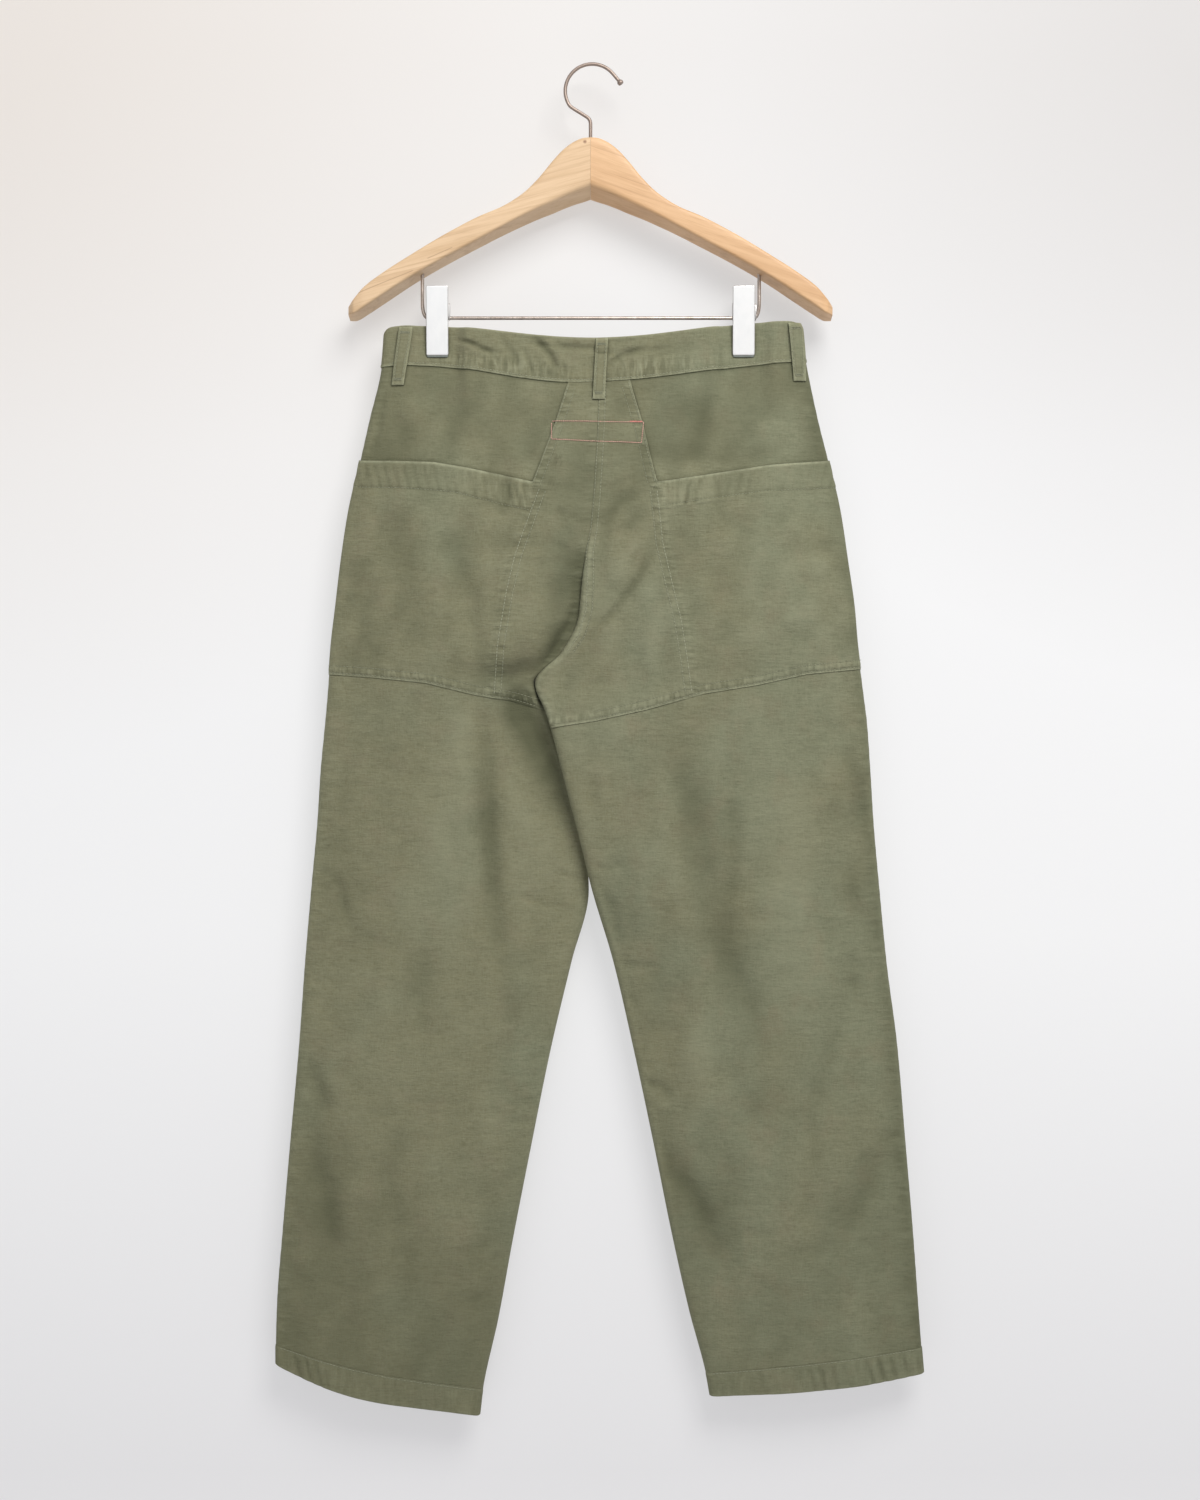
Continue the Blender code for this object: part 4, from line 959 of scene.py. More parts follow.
def belt_loop(name, face, x_top, drop_top, x_foot, drop_foot, foot_rest, dip):
    """A strip tacked down at its turned ends, standing off the band between."""
    t = spread(0.0, 1.0, 34, (0, 0.006, 0.02, 0.04, 0.07))[:, None]
    s = spread(-0.5, 0.5, 12, (0, 0.03, 0.08))[None, :]
    across = s * BELT_LOOP_WIDTH
    drop = mix(drop_top, drop_foot, t) + 0 * across
    x = np.array([walk(mix(x_top, x_foot, k), row, across[0]) for k, row in zip(t[:, 0], drop)])
    rest = mix(BAND_CLOTH / 2, foot_rest, ease((t - 0.45) / 0.35))
    lift = loop_lift(t, dip)
    edge = np.minimum(s + 0.5, 0.5 - s) * BELT_LOOP_WIDTH
    end = np.minimum(t, 1 - t) * (drop_foot - drop_top)
    thick = LOOP_CLOTH * (0.55 + 0.45 * ease(edge / 1.0)) * (0.5 + 0.5 * ease(end / 1.2))
    foot_end = (1 - t) * (drop_foot - drop_top)
    thick = thick + 0.5 * ease((7.5 - foot_end) / 1.5)
    thick = thick - 0.3 * bump(edge - 1.9, 0.5) - 0.3 * bump(foot_end - 6.5, 0.7)
    under = rest + lift + 0 * across
    wear = 0.6 * bump(edge - 0.4, 0.8) + 0.3 * bump(edge - 1.9, 0.7) + 0.6 * bump(end, 1.5)
    # painted shade in the fold under the upper tack and in the groove inside each stitched edge
    wear = wear + 0.25 * bump(foot_end - 4, 2.5) - 0.4 * dip * bump(t - 0.24, 0.025)
    wear = wear - 0.12 * bump(edge - 3.0, 0.5)
    outer, inner = (skin(face, x, drop, height) for height in (under + thick, under))
    made = wall(name + "_cloth", outer, inner, [name], wear=wear)


def fly_flap():
    """The flap over the zip, on the front, with its rounded lower corner."""
    s = spread(0.0, 1.0, 40, (0, 0.006, 0.02, 0.04))[None, :]
    t = spread(0.0, 1.0, 90, (0, 0.002, 0.006, 0.012))[:, None]
    x = mix(CENTRE_X - 2, CENTRE_X - FLY_WIDTH, s) - FLY_SLANT * t
    into_corner = (s * FLY_WIDTH - (FLY_WIDTH - FLY_CORNER)) / FLY_CORNER
    corner = 1 - np.sqrt(1 - np.clip(into_corner, 0, 0.97) ** 2)
    drop = mix(FLY_TOP, FLY_FOOT - FLY_CORNER * corner, t)
    edge = np.minimum((1 - s) * FLY_WIDTH, (1 - t) * (FLY_FOOT - FLY_TOP))
    height = CLOTH / 2 + PATCH_CLOTH * (0.4 + 0.6 * ease(edge / 1.2)) - 0.3 * bump(edge - 2.2, 0.7)
    height = height + 0.2 * roping(drop, 0 * drop, 9, 61) * bump(edge - 4, 4)
    wear = 0.5 * bump(edge, 1.4) + 0 * drop
    inner = skin("front", x, drop, CLOTH / 2 - 0.3)
    made = wall("cloth_fly_flap", skin("front", x, drop, height), inner, ["fly_flap"], wear=wear)


# ---- thread --------------------------------------------------------------------------------------

STITCH_LENGTH, STITCH_PITCH, THREAD_RADIUS = 2.3, 3.0, 0.27
TUBE_SIDES = 6
STITCH_RINGS = ((-0.5, 0.25), (-0.36, 0.85), (0.0, 1.0), (0.36, 0.85), (0.5, 0.25))


def offset_path(path, off):
    """The path moved sideways, to its left when off is above 0."""
    points = np.array(path, float)
    along = np.gradient(points, axis=0)
    along /= np.linalg.norm(along, axis=1, keepdims=True)
    return points + off * np.stack([along[:, 1], -along[:, 0]], axis=1)


def stitch_ends(path, pitch=STITCH_PITCH, length=STITCH_LENGTH):
    """Both ends of each stitch along a path, as (x, drop)."""
    points = np.array(path, float)
    run = np.concatenate([[0], np.cumsum(np.hypot(*np.diff(points, axis=0).T))])
    starts = np.arange(0.4, run[-1] - length, pitch)
    ends = []
    for s in (starts, starts + length):
        ends.append(np.stack([np.interp(s, run, points[:, 0]), np.interp(s, run, points[:, 1])], axis=1))
    return ends


class Thread:
    """Collects stitches, then makes them one mesh."""

    def __init__(self):
        self.points, self.quads, self.tint = [], [], []
        self.count = 0

    def add(self, start, end, outward, radius=THREAD_RADIUS, tint=0.0):
        along = end - start
        length = np.linalg.norm(along, axis=1, keepdims=True)
        along = along / np.maximum(length, 1e-6)
        across = np.cross(along, outward)
        across /= np.maximum(np.linalg.norm(across, axis=1, keepdims=True), 1e-6)
        up = np.cross(across, along)
        middle = (start + end) / 2
        n = len(start)
        rings = []
        for place, size in STITCH_RINGS:
            for k in range(TUBE_SIDES):
                turn = 2 * math.pi * k / TUBE_SIDES
                rim = radius * size * (math.cos(turn) * across + math.sin(turn) * up)
                arch = radius * 0.7 * (1 - (2 * place) ** 2)
                rings.append(middle + along * length * place + rim + up * arch)
        points = np.stack(rings, axis=1)
        each = len(STITCH_RINGS) * TUBE_SIDES
        last = each - TUBE_SIDES
        caps = [(0, 3, 2, 1), (0, 5, 4, 3), (last, last + 1, last + 2, last + 3),
                (last, last + 3, last + 4, last + 5)]
        one = np.concatenate([side_quads(len(STITCH_RINGS), TUBE_SIDES), caps])
        quads = one[None] + (self.count + each * np.arange(n))[:, None, None]
        self.points.append(points.reshape(-1, 3))
        self.quads.append(quads.reshape(-1, 4))
        self.tint.append(np.full(n * each, tint))
        self.count += n * each

    def finish(self, name, slot):
        points, quads = np.concatenate(self.points), np.concatenate(self.quads)
        return add_mesh(name, points, quads, slot, wear=np.concatenate(self.tint))


def sew(thread, face, path, height, tint=0.0, pitch=STITCH_PITCH, length=STITCH_LENGTH,
        radius=THREAD_RADIUS):
    """A row of stitches along a path on the garment. height is a function of (x, drop)."""
    first, second = stitch_ends(path, pitch, length)
    both = np.concatenate([first, second])
    lift = height(both[:, 0], both[:, 1])
    low = skin(face, both[:, 0], both[:, 1], lift)
    high = skin(face, both[:, 0], both[:, 1], lift + 1)
    n = len(first)
    outward = (high - low)[:n] + (high - low)[n:]
    outward /= np.linalg.norm(outward, axis=1, keepdims=True)
    thread.add(low[:n] + outward * radius * 0.3, low[n:] + outward * radius * 0.3, outward, radius, tint)


def on_patch(side):
    """The height of a patch's face to sew at, as a function of (x, drop)."""
    def height(x, drop):
        return CLOTH / 2 + patch_height(side, x, drop)[0]

    return height


def on_band(face, from_foot):
    """The same for the waistband, at a distance up from its seam."""
    def height(x, drop):
        left = band_height("left", face, x, drop, 30.0, from_foot)[0]
        right = band_height("right", face, x, drop, 30.0, from_foot)[0]
        return np.where(x < CENTRE_X, left, right)

    return height


def on_hem(x, _):
    """The height of a hem's face to sew at, the same all over it."""
    return BAND_CLOTH / 2 + 0 * x


def band_line(face, from_foot):
    """A line along the waistband, above its seam."""
    points = []
    for side, us in (("left", np.linspace(0.03, 1, 60)), ("right", np.linspace(1, 0.03, 60))):
        level = np.full(us.shape, level_of(side, "waist_seam") - from_foot)
        points += zip(*place(side, face, us, level))
    return [p for k, p in enumerate(points) if k == 0 or p[0] > points[k - 1][0] + 0.5]


def hem_line(side, face):
    us = np.linspace(0.02, 0.98, 50)
    return list(zip(*place(side, face, us, np.full(us.shape, level_of(side, "hem_seam") + 1.0))))


def sew_patch(thread, side):
    sign = 1 if side == "left" else -1
    low, high = FOOT_SEWN[side]
    foot = [p for p in PATCH_FOOT[side] if low < p[0] < high]
    patch = on_patch(side)
    sew(thread, "back", MOUTH_STITCH[side], patch, 0.15)
    for off, tint in EDGE_ROWS:
        sew(thread, "back", offset_path(foot, off * sign), patch, tint)
        sew(thread, "back", offset_path(NECK_STITCH[side], -off * sign), patch, tint)
    for off, tint in POCKET_ROWS:
        sew(thread, "back", offset_path(POCKET_STITCH[side], off * sign), patch, tint, radius=0.32)


def sew_centre_seam(thread):
    for off in (1.2, 6.6):
        seam = [(x + off + 2.4 * float(ease((drop - 440) / 50)), drop) for x, drop in CENTRE_SEAM]
        sew(thread, "back", seam, lambda x, drop: on_patch("right")(x, drop) + 0.35, 0.55)


def sew_fly(thread):
    edge, foot = CENTRE_X - FLY_WIDTH + 4, FLY_FOOT - FLY_CORNER
    path = [(edge - FLY_SLANT * t, mix(FLY_TOP, foot, t)) for t in (0.02, 0.5, 0.9)]
    path += [(-36, 437), (-28, 444), (-14, 449)]
    sew(thread, "front", path, lambda x, drop: CLOTH / 2 + PATCH_CLOTH + 0 * x, 0.3)


def sew_pink(thread):
    """The pink box below the centre belt loop, with a denser tack at its upper right corner."""
    for start, end in zip(PINK_BOX, PINK_BOX[1:]):
        sew(thread, "back", (start, end), pink_height, 0.0, 1.9, 1.6, 0.42)
    sew(thread, "back", PINK_TACK, lambda x, drop: pink_height(x, drop) + 0.25, 1.0, 1.4, 1.35, 0.5)


def sew_all():
    cotton, pink = Thread(), Thread()
    for face in FACES:
        sew(cotton, face, band_line(face, 2.4), on_band(face, 2.4), 0.45)
        for side in SIDES:
            sew(cotton, face, hem_line(side, face), on_hem, 0.5)
    for side in SIDES:
        sew_patch(cotton, side)
    sew_centre_seam(cotton)
    for row in BELT_LOOPS:
        loop_rows(cotton, *row[1:])
    sew_fly(cotton)
    sew_pink(pink)
    cotton.finish("thread_olive", "olive_cotton").data.materials[0] = MATERIALS["olive_thread"]
    pink.finish("thread_pink", "olive_cotton").data.materials[0] = MATERIALS["pink_thread"]


def pink_height(x, drop):
    """The pink stitches cross from the neck of the patch to the panel at its left end."""
    left, right = on_patch("left")(x, drop), on_patch("right")(x, drop)
    neck_edge = np.interp(drop, (294, 331, 385), (-23, -35, -55.4))
    return np.where(x < neck_edge, CLOTH / 2, np.where(x < CENTRE_X, left, right))


def loop_rows(thread, face, x0, drop0, x1, drop1, rest, dip):
    """A belt loop's stitches: one row along each edge and three short ones across each tack."""
    for off in (-BELT_LOOP_WIDTH / 2 + 1.9, BELT_LOOP_WIDTH / 2 - 1.9):
        t = np.linspace(0.08, 0.92, 12)
        drop = mix(drop0, drop1, t)
        x = np.array([walk(mix(x0, x1, k), np.array([d]), np.array([off]))[0] for k, d in zip(t, drop)])

        def height(_, at_drop):
            k = (at_drop - drop0) / (drop1 - drop0)
            base = mix(BAND_CLOTH / 2, rest, ease((k - 0.45) / 0.35))
            return base + loop_lift(k, dip) + LOOP_CLOTH - 0.1

        sew(thread, face, list(zip(x, drop)), height, 0.35)
    for k in (0.1, 0.9):
        drop = mix(drop0, drop1, k)
        middle = mix(x0, x1, k)
        ends = [walk(middle, np.array([drop]), np.array([a]))[0] for a in (-4.2, 0, 4.2)]
        base = BAND_CLOTH / 2 if k < 0.5 else rest
        top = base + float(loop_lift(k, dip)) + LOOP_CLOTH + (0.0 if k < 0.5 else 0.4)
        for shift in (-0.8, 0.0, 0.8):
            row = [(x, drop + shift) for x in ends]
            sew(thread, face, row, lambda x, d: top + 0 * x, 0.4, 1.1, 1.5)


# ---- hanger --------------------------------------------------------------------------------------


def arm_section(turn, half_high, half_thick):
    """A rectangle with slightly eased edges."""
    c, s = np.cos(turn), np.sin(turn)
    power = np.where(s > 0, 9.0, 12.0)
    radius = (np.abs(c) ** power + np.abs(s) ** power) ** (-1 / power)
    return c * radius * half_thick, s * radius * half_high


def hanger_arm(side):
    """One wooden arm, from the joint in the middle out to its rounded end."""
    direction = -1 if side == "left" else 1
    outs = [row[0] for row in ARM]
    rounding = 221.5 - 7.5 * np.linspace(1, 0, 22)[1:] ** 2
    out = np.concatenate([[0.0, 0.03], np.linspace(1, 214, 150), rounding])
    top, lower, thick = (smooth(out, outs, [row[k] for row in ARM]) for k in (1, 2, 3))
    around = 72
    turn = 2 * math.pi * (np.arange(around) + 0.5) / around
    y, z = arm_section(turn[None, :], ((lower - top) / 2)[:, None], thick[:, None])
    x = JOINT_X + direction * (out + 0.05)
    low = np.clip(-2 * z / (lower - top)[:, None], 0, 1)
    back = (y / thick[:, None] + 1) / 2
    z = z - low * mix(-UNDERSIDE_FRONT, smooth(out, UNDERSIDE_OUT, UNDERSIDE_LOWER)[:, None], back)
    points = np.stack([x[:, None] + 0 * y, y, -((top + lower) / 2)[:, None] + z], axis=-1)
    slope = math.radians(GRAIN_SLOPE[side])
    along = points[..., 0] * math.cos(slope) + points[..., 2] * math.sin(slope)
    across = points[..., 2] * math.cos(slope) - points[..., 0] * math.sin(slope)
    grain = np.stack([along, across, y], axis=-1).reshape(-1, 3) * MM
    slot = "pale_wood" if side == "left" else "amber_wood"
    add_mesh(f"wood_arm_{side}", points.reshape(-1, 3), tube_quads(len(out), around), slot,
             [f"hanger_arm_{side}"], grain=grain)


def tube(name, path, radii, slot, replaces, sides=20):
    """A round wire along (x, y, drop) points."""
    path = np.array(path, float)
    path[:, 2] *= -1
    along = np.gradient(path, axis=0)
    along /= np.linalg.norm(along, axis=1, keepdims=True)
    first = np.cross(along, np.array([0.0, 1.0, 0.0]))
    first /= np.linalg.norm(first, axis=1, keepdims=True)
    second = np.cross(along, first)
    turn = 2 * math.pi * np.arange(sides) / sides
    rim = np.cos(turn)[None, :, None] * first[:, None] + np.sin(turn)[None, :, None] * second[:, None]
    points = path[:, None] + np.array(radii)[:, None, None] * rim
    return add_mesh(name, points.reshape(-1, 3), tube_quads(len(path), sides), slot, replaces)


def rounded_path(points, rounds=3):
    """Corners cut again and again, so that a bend is a curve."""
    points = [np.array(p, float) for p in points]
    for _ in range(rounds):
        cut = [points[0]]
        for a, b in zip(points, points[1:]):
            cut += [mix(a, b, 0.25), mix(a, b, 0.75)]
        points = cut + [points[-1]]
    return np.array(points)


def hanger_hook():
    """The wire hook, with a small rounded bead at its end."""
    centre_drop = HOOK_RADIUS - WIRE
    path = [(JOINT_X, 100), (JOINT_X, 75), (JOINT_X, 56), (JOINT_X, 52), (-2.6, 49.0), (-4.8, 47.0)]
    for degrees in np.linspace(HOOK_FROM, HOOK_TO, 27):
        turn = math.radians(degrees)
        path.append((HOOK_RADIUS * math.cos(turn), centre_drop - HOOK_RADIUS * math.sin(turn)))
    run_x, run_drop = math.sin(math.radians(HOOK_TO)), math.cos(math.radians(HOOK_TO))
    last_x, last_drop = path[-1]
    path.append((last_x + run_x * 4, last_drop + run_drop * 4))
    body = rounded_path(path, 2)
    steps = np.linspace(0.4, 1.0, 26)
    end = np.stack([last_x + run_x * HOOK_END_LENGTH * steps,
                    last_drop + run_drop * HOOK_END_LENGTH * steps], 1)
    ball_at = (steps - 0.86) * HOOK_END_LENGTH
    ball = np.sqrt(np.clip((WIRE * HOOK_BALL) ** 2 - ball_at**2, 0.02, None))
    end_radii = np.where(ball_at < 0, np.maximum(WIRE, ball), ball)
    radii = np.concatenate([np.full(len(body), WIRE), end_radii])
    flat = np.concatenate([body, end])
    made = tube("wire_hook", np.insert(flat, 1, 0.0, axis=1), radii, "wire_steel", ["hanger_hook"])
    made.data.materials[0] = MATERIALS["hook_steel"]


def clip_bar():
    """The bar that the clips are on, with both ends bent up into the wood."""
    drops = (BAR_TOP - 3, BAR_TOP + 20, BAR_DROP)
    path = [(BAR_LEFT, drop) for drop in drops]
    path += [(x, BAR_DROP) for x in (BAR_LEFT + BAR_BEND, -60, 60, BAR_RIGHT - BAR_BEND)]
    path += [(BAR_RIGHT, drop) for drop in drops[::-1]]
    flat = rounded_path(path, 4)
    tube("wire_clip_bar", np.insert(flat, 1, 0.0, axis=1), np.full(len(flat), WIRE), "wire_steel",
         ["clip_bar"])


def sheet_metal(name, ends_y, x, width, facing, slot, replaces=(), drops=(PLATE_TOP, PLATE_FOOT),
                thick=PLATE_THICK):
    """A plate with rounded corners and softened edges. ends_y is its inner face at top and foot."""
    t = spread(0.0, 1.0, 30, (0, 0.004, 0.012, 0.025))[:, None]
    s = spread(-0.5, 0.5, 16, (0, 0.012, 0.035, 0.07))[None, :]
    length = drops[1] - drops[0]
    end = np.minimum(t, 1 - t) * length
    into_corner = np.clip(PLATE_CORNER - end, 0, PLATE_CORNER)
    cut = PLATE_CORNER - np.sqrt(np.clip(PLATE_CORNER**2 - into_corner**2, 0, None))
    px = x + s * (width - 2 * cut)
    drop = mix(drops[0], drops[1], t) + 0 * s
    edge = np.minimum(np.minimum(s + 0.5, 0.5 - s) * width, end + 0 * s)
    round_off = 0.35 * (1 - ease(edge / 0.5))
    y = mix(ends_y[0], ends_y[1], t) + 0 * s
    crown = PLATE_CROWN * (1 - (2 * s) ** 2)
    outer = np.stack([px, facing * (y + thick + crown - round_off), -drop], axis=-1)
    inner = np.stack([px, facing * (y + round_off), -drop], axis=-1)
    rows, cols = outer.shape[:2]
    points = np.concatenate([outer.reshape(-1, 3), inner.reshape(-1, 3)])
    rim = np.tile(np.ravel(bump(edge, 0.55)), 2)
    return add_mesh(name, points, wall_quads(rows, cols, False), slot, replaces, wear=rim)


def clip(side):
    """Both halves of a clip, each with two ears on the bar and a rubber pad on the cloth."""
    x = CLIPS[side]
    for name, facing, width in (("plate", -1, PLATE_WIDTH), ("jaw", 1, PLATE_WIDTH - JAW_NARROWER)):
        sheet_metal(f"metal_clip_{name}_{side}", (PLATE_TOP_Y, PLATE_FOOT_Y), x, width, facing,
                    "clip_metal", [f"clip_{name}_{side}"])
        y_bar = mix(PLATE_FOOT_Y, PLATE_TOP_Y, (PLATE_FOOT - BAR_DROP) / (PLATE_FOOT - PLATE_TOP))
        for sign, tag in ((-1, "a"), (1, "b")):
            stands_out = 1.2 if (name, sign) == ("plate", 1) else 0.0
            at = x + sign * (width - CHEEK_THICK) / 2 + stands_out
            cheek(f"metal_cheek_{name}_{side}_{tag}", at, facing, y_bar)
        pad = sheet_metal(f"rubber_pad_{name}_{side}", (PLATE_FOOT_Y + 0.2, PLATE_FOOT_Y - 0.35), x,
                          width - 0.6, facing, "button_horn", thick=PAD_THICK,
                          drops=(PLATE_FOOT - PAD_ABOVE, PLATE_FOOT + PAD_BELOW))
        pad.data.materials[0] = MATERIALS["rubber_pad"]


def cheek(name, x, facing, y_bar):
    """One of the two ears that hold a clip's half on the bar: a rounded plate, across the clip."""
    depth = y_bar + 4.0
    n = 20
    turn = 2 * math.pi * np.arange(n) / n
    c, s = np.cos(turn), np.sin(turn)
    y = np.sign(c) * np.abs(c) ** 0.7 * depth / 2 + depth / 2 - 3.6
    z = np.sign(s) * np.abs(s) ** 0.7 * 8 + 5.5
    points = []
    for at in (x - CHEEK_THICK / 2, x + CHEEK_THICK / 2):
        points += [(at, facing * a, b - BAR_DROP) for a, b in zip(y, z)]
    faces = [(k, (k + 1) % n, (k + 1) % n + n, k + n) for k in range(n)]
    for k in range(n // 2 - 1):
        faces.append((k, k + 1, n - 2 - k, n - 1 - k))
        faces.append((k + n, n - 1 - k + n, n - 2 - k + n, k + 1 + n))
    made = add_mesh(name, points, faces, "clip_metal", wear=np.full(len(points), 0.6))
    made.data.polygons.foreach_set("use_smooth", np.zeros(len(made.data.polygons), bool))


# The waist button's face and back, as radius and height over the cloth.
BUTTON_PROFILE = (
    (0.02, 0.9), (2.0, 0.95), (3.6, 1.25), (4.8, 2.0), (6.2, 2.9), (7.6, 3.0), (8.35, 2.5), (8.5, 1.6),
    (8.2, 0.6), (7.2, 0.05), (0.02, 0.0),
)


def waist_button():
    """A turned button with a dished face."""
    x, y, z = skin("front", BUTTON_X, BUTTON_DROP, BAND_CLOTH / 2 + 0.5)
    around = 48
    turns = 2 * math.pi * np.arange(around) / around
    points = []
    for radius, out in BUTTON_PROFILE:
        points += [(x + radius * math.cos(turn), y + out, z + radius * math.sin(turn)) for turn in turns]
    quads = tube_quads(len(BUTTON_PROFILE), around)
    add_mesh("horn_button", points, quads, "button_horn", ["waist_button"])


# ---- materials -----------------------------------------------------------------------------------


class Nodes:
    """Short calls for building a material."""

    def __init__(self, name):
        self.material = bpy.data.materials.new(name)
        self.material.use_nodes = True
        self.tree = self.material.node_tree
        self.shader = next(n for n in self.tree.nodes if n.type == "BSDF_PRINCIPLED")

    def new(self, kind, links=None, **settings):
        """A node, with its settings or its sockets' values, and what its inputs are linked to."""
        node = self.tree.nodes.new("ShaderNode" + kind)
        for key, value in settings.items():
            if key in node.bl_rna.properties:
                setattr(node, key, value)
            else:
                node.inputs[key].default_value = value
        for key, source in (links or {}).items():
            self.tree.links.new(source, node.inputs[key])
        return node

    def here(self):
        return self.new("TexCoord").outputs["Object"]

    def noise(self, cells, detail=3.0, roughness=0.55, where=None, distortion=0.0):
        """A noise with so many cells to a metre, by axis, on the object or on other coordinates."""
        vector = self.new("Mapping", {"Vector": where or self.here()}, Scale=cells).outputs["Vector"]
        return self.new("TexNoise", {"Vector": vector}, Scale=1.0, Detail=detail, Roughness=roughness,
                        Distortion=distortion).outputs["Fac"]

    def feed(self, socket, value):
        """Gives a socket a number, a colour or another node's output."""
        if isinstance(value, (int, float)):
            socket.default_value = value
        elif isinstance(value, tuple):
            socket.default_value = (*value, 1.0)
        else:
            self.tree.links.new(value, socket)

    def math(self, operation, a, b, clamp=False):
        node = self.new("Math", operation=operation, use_clamp=clamp)
        self.feed(node.inputs[0], a)
        self.feed(node.inputs[1], b)
        return node.outputs[0]

    def blend(self, amount, under, over):
        """One colour over another."""
        node = self.new("Mix", data_type="RGBA")
        for name, value in (("Factor_Float", amount), ("A_Color", under), ("B_Color", over)):
            self.feed(next(s for s in node.inputs if s.identifier == name), value)
        return next(s for s in node.outputs if s.identifier == "Result_Color")

    def ranged(self, value, low, high, out_low=0.0, out_high=1.0):
        limits = {"From Min": low, "From Max": high, "To Min": out_low, "To Max": out_high}
        return self.new("MapRange", {"Value": value}, **limits).outputs["Result"]

    def cover(self, under, value, low, high, share, over):
        """One colour over another, up to a share of it as a value goes from low to high."""
        return self.blend(self.ranged(value, low, high, 0.0, share), under, over)

    def vector(self, operation, a, b):
        node = self.new("VectorMath", {0: a}, operation=operation)
        if isinstance(b, tuple):
            node.inputs[1].default_value = b
        else:
            self.tree.links.new(b, node.inputs[1])
        return node

    def off_line(self, start, end):
        """Distance in metres, seen from the front, to the line between two (x, drop) points."""
        start, end = (np.array([x, 0.0, -drop]) * MM for x, drop in (start, end))
        run = end - start
        flat = self.new("Mapping", {"Vector": self.here()}, Scale=(1.0, 0.0, 1.0)).outputs["Vector"]
        away = self.vector("SUBTRACT", flat, tuple(start)).outputs["Vector"]
        share = self.vector("DOT_PRODUCT", away, tuple(run / run.dot(run))).outputs["Value"]
        share = self.math("MULTIPLY", share, 1.0, clamp=True)
        along = self.new("VectorMath", {"Scale": share}, operation="SCALE")
        along.inputs[0].default_value = tuple(run)
        return self.vector("DISTANCE", away, along.outputs["Vector"]).outputs["Value"]

    def attribute(self, name, output="Fac"):
        return self.new("Attribute", attribute_name=name).outputs[output]

    def bump(self, height, strength, distance, normal=None):
        node = self.new("Bump", {"Height": height}, Strength=strength, Distance=distance)
        if normal is not None:
            self.tree.links.new(normal, node.inputs["Normal"])
        return node.outputs["Normal"]

    def to_shader(self, **links):
        for key, source in links.items():
            self.tree.links.new(source, self.shader.inputs[key.replace("_", " ")])

    def fixed(self, **values):
        for key, value in values.items():
            self.shader.inputs[key.replace("_", " ")].default_value = value


OLIVE = (0.183, 0.174, 0.100)
OLIVE_GREEN = (0.172, 0.186, 0.117)
OLIVE_BROWN = (0.195, 0.168, 0.104)
# pale worn cloth, also the colour of painted highlight
OLIVE_WORN_AND_HIGHLIGHT = (0.312, 0.318, 0.212)
# dark slubs and mottling, also the colour of painted shade
OLIVE_DARK = (0.095, 0.098, 0.056)
# painted shade in crevices and grooves
OLIVE_PAINTED_SHADE = (0.048, 0.050, 0.028)
OLIVE_SPECK = (0.258, 0.257, 0.168)
WEAVE = (
    # pattern, cells to a metre, detail, roughness, the range that shows, its share, its colour
    ("slub", (60, 60, 480), 4.0, 0.7, 0.34, 0.66, 0.34, OLIVE_DARK),
    ("cloudy", (62, 62, 80), 4.0, 0.6, 0.34, 0.66, 0.36, OLIVE_DARK),
    ("speck", (430, 430, 560), 2.5, 0.7, 0.36, 0.68, 0.26, OLIVE_SPECK),
    ("weft", (140, 140, 760), 2.5, 0.6, 0.34, 0.66, 0.34, OLIVE_SPECK),
    ("warp", (760, 760, 150), 2.5, 0.6, 0.34, 0.66, 0.24, OLIVE_SPECK),
)


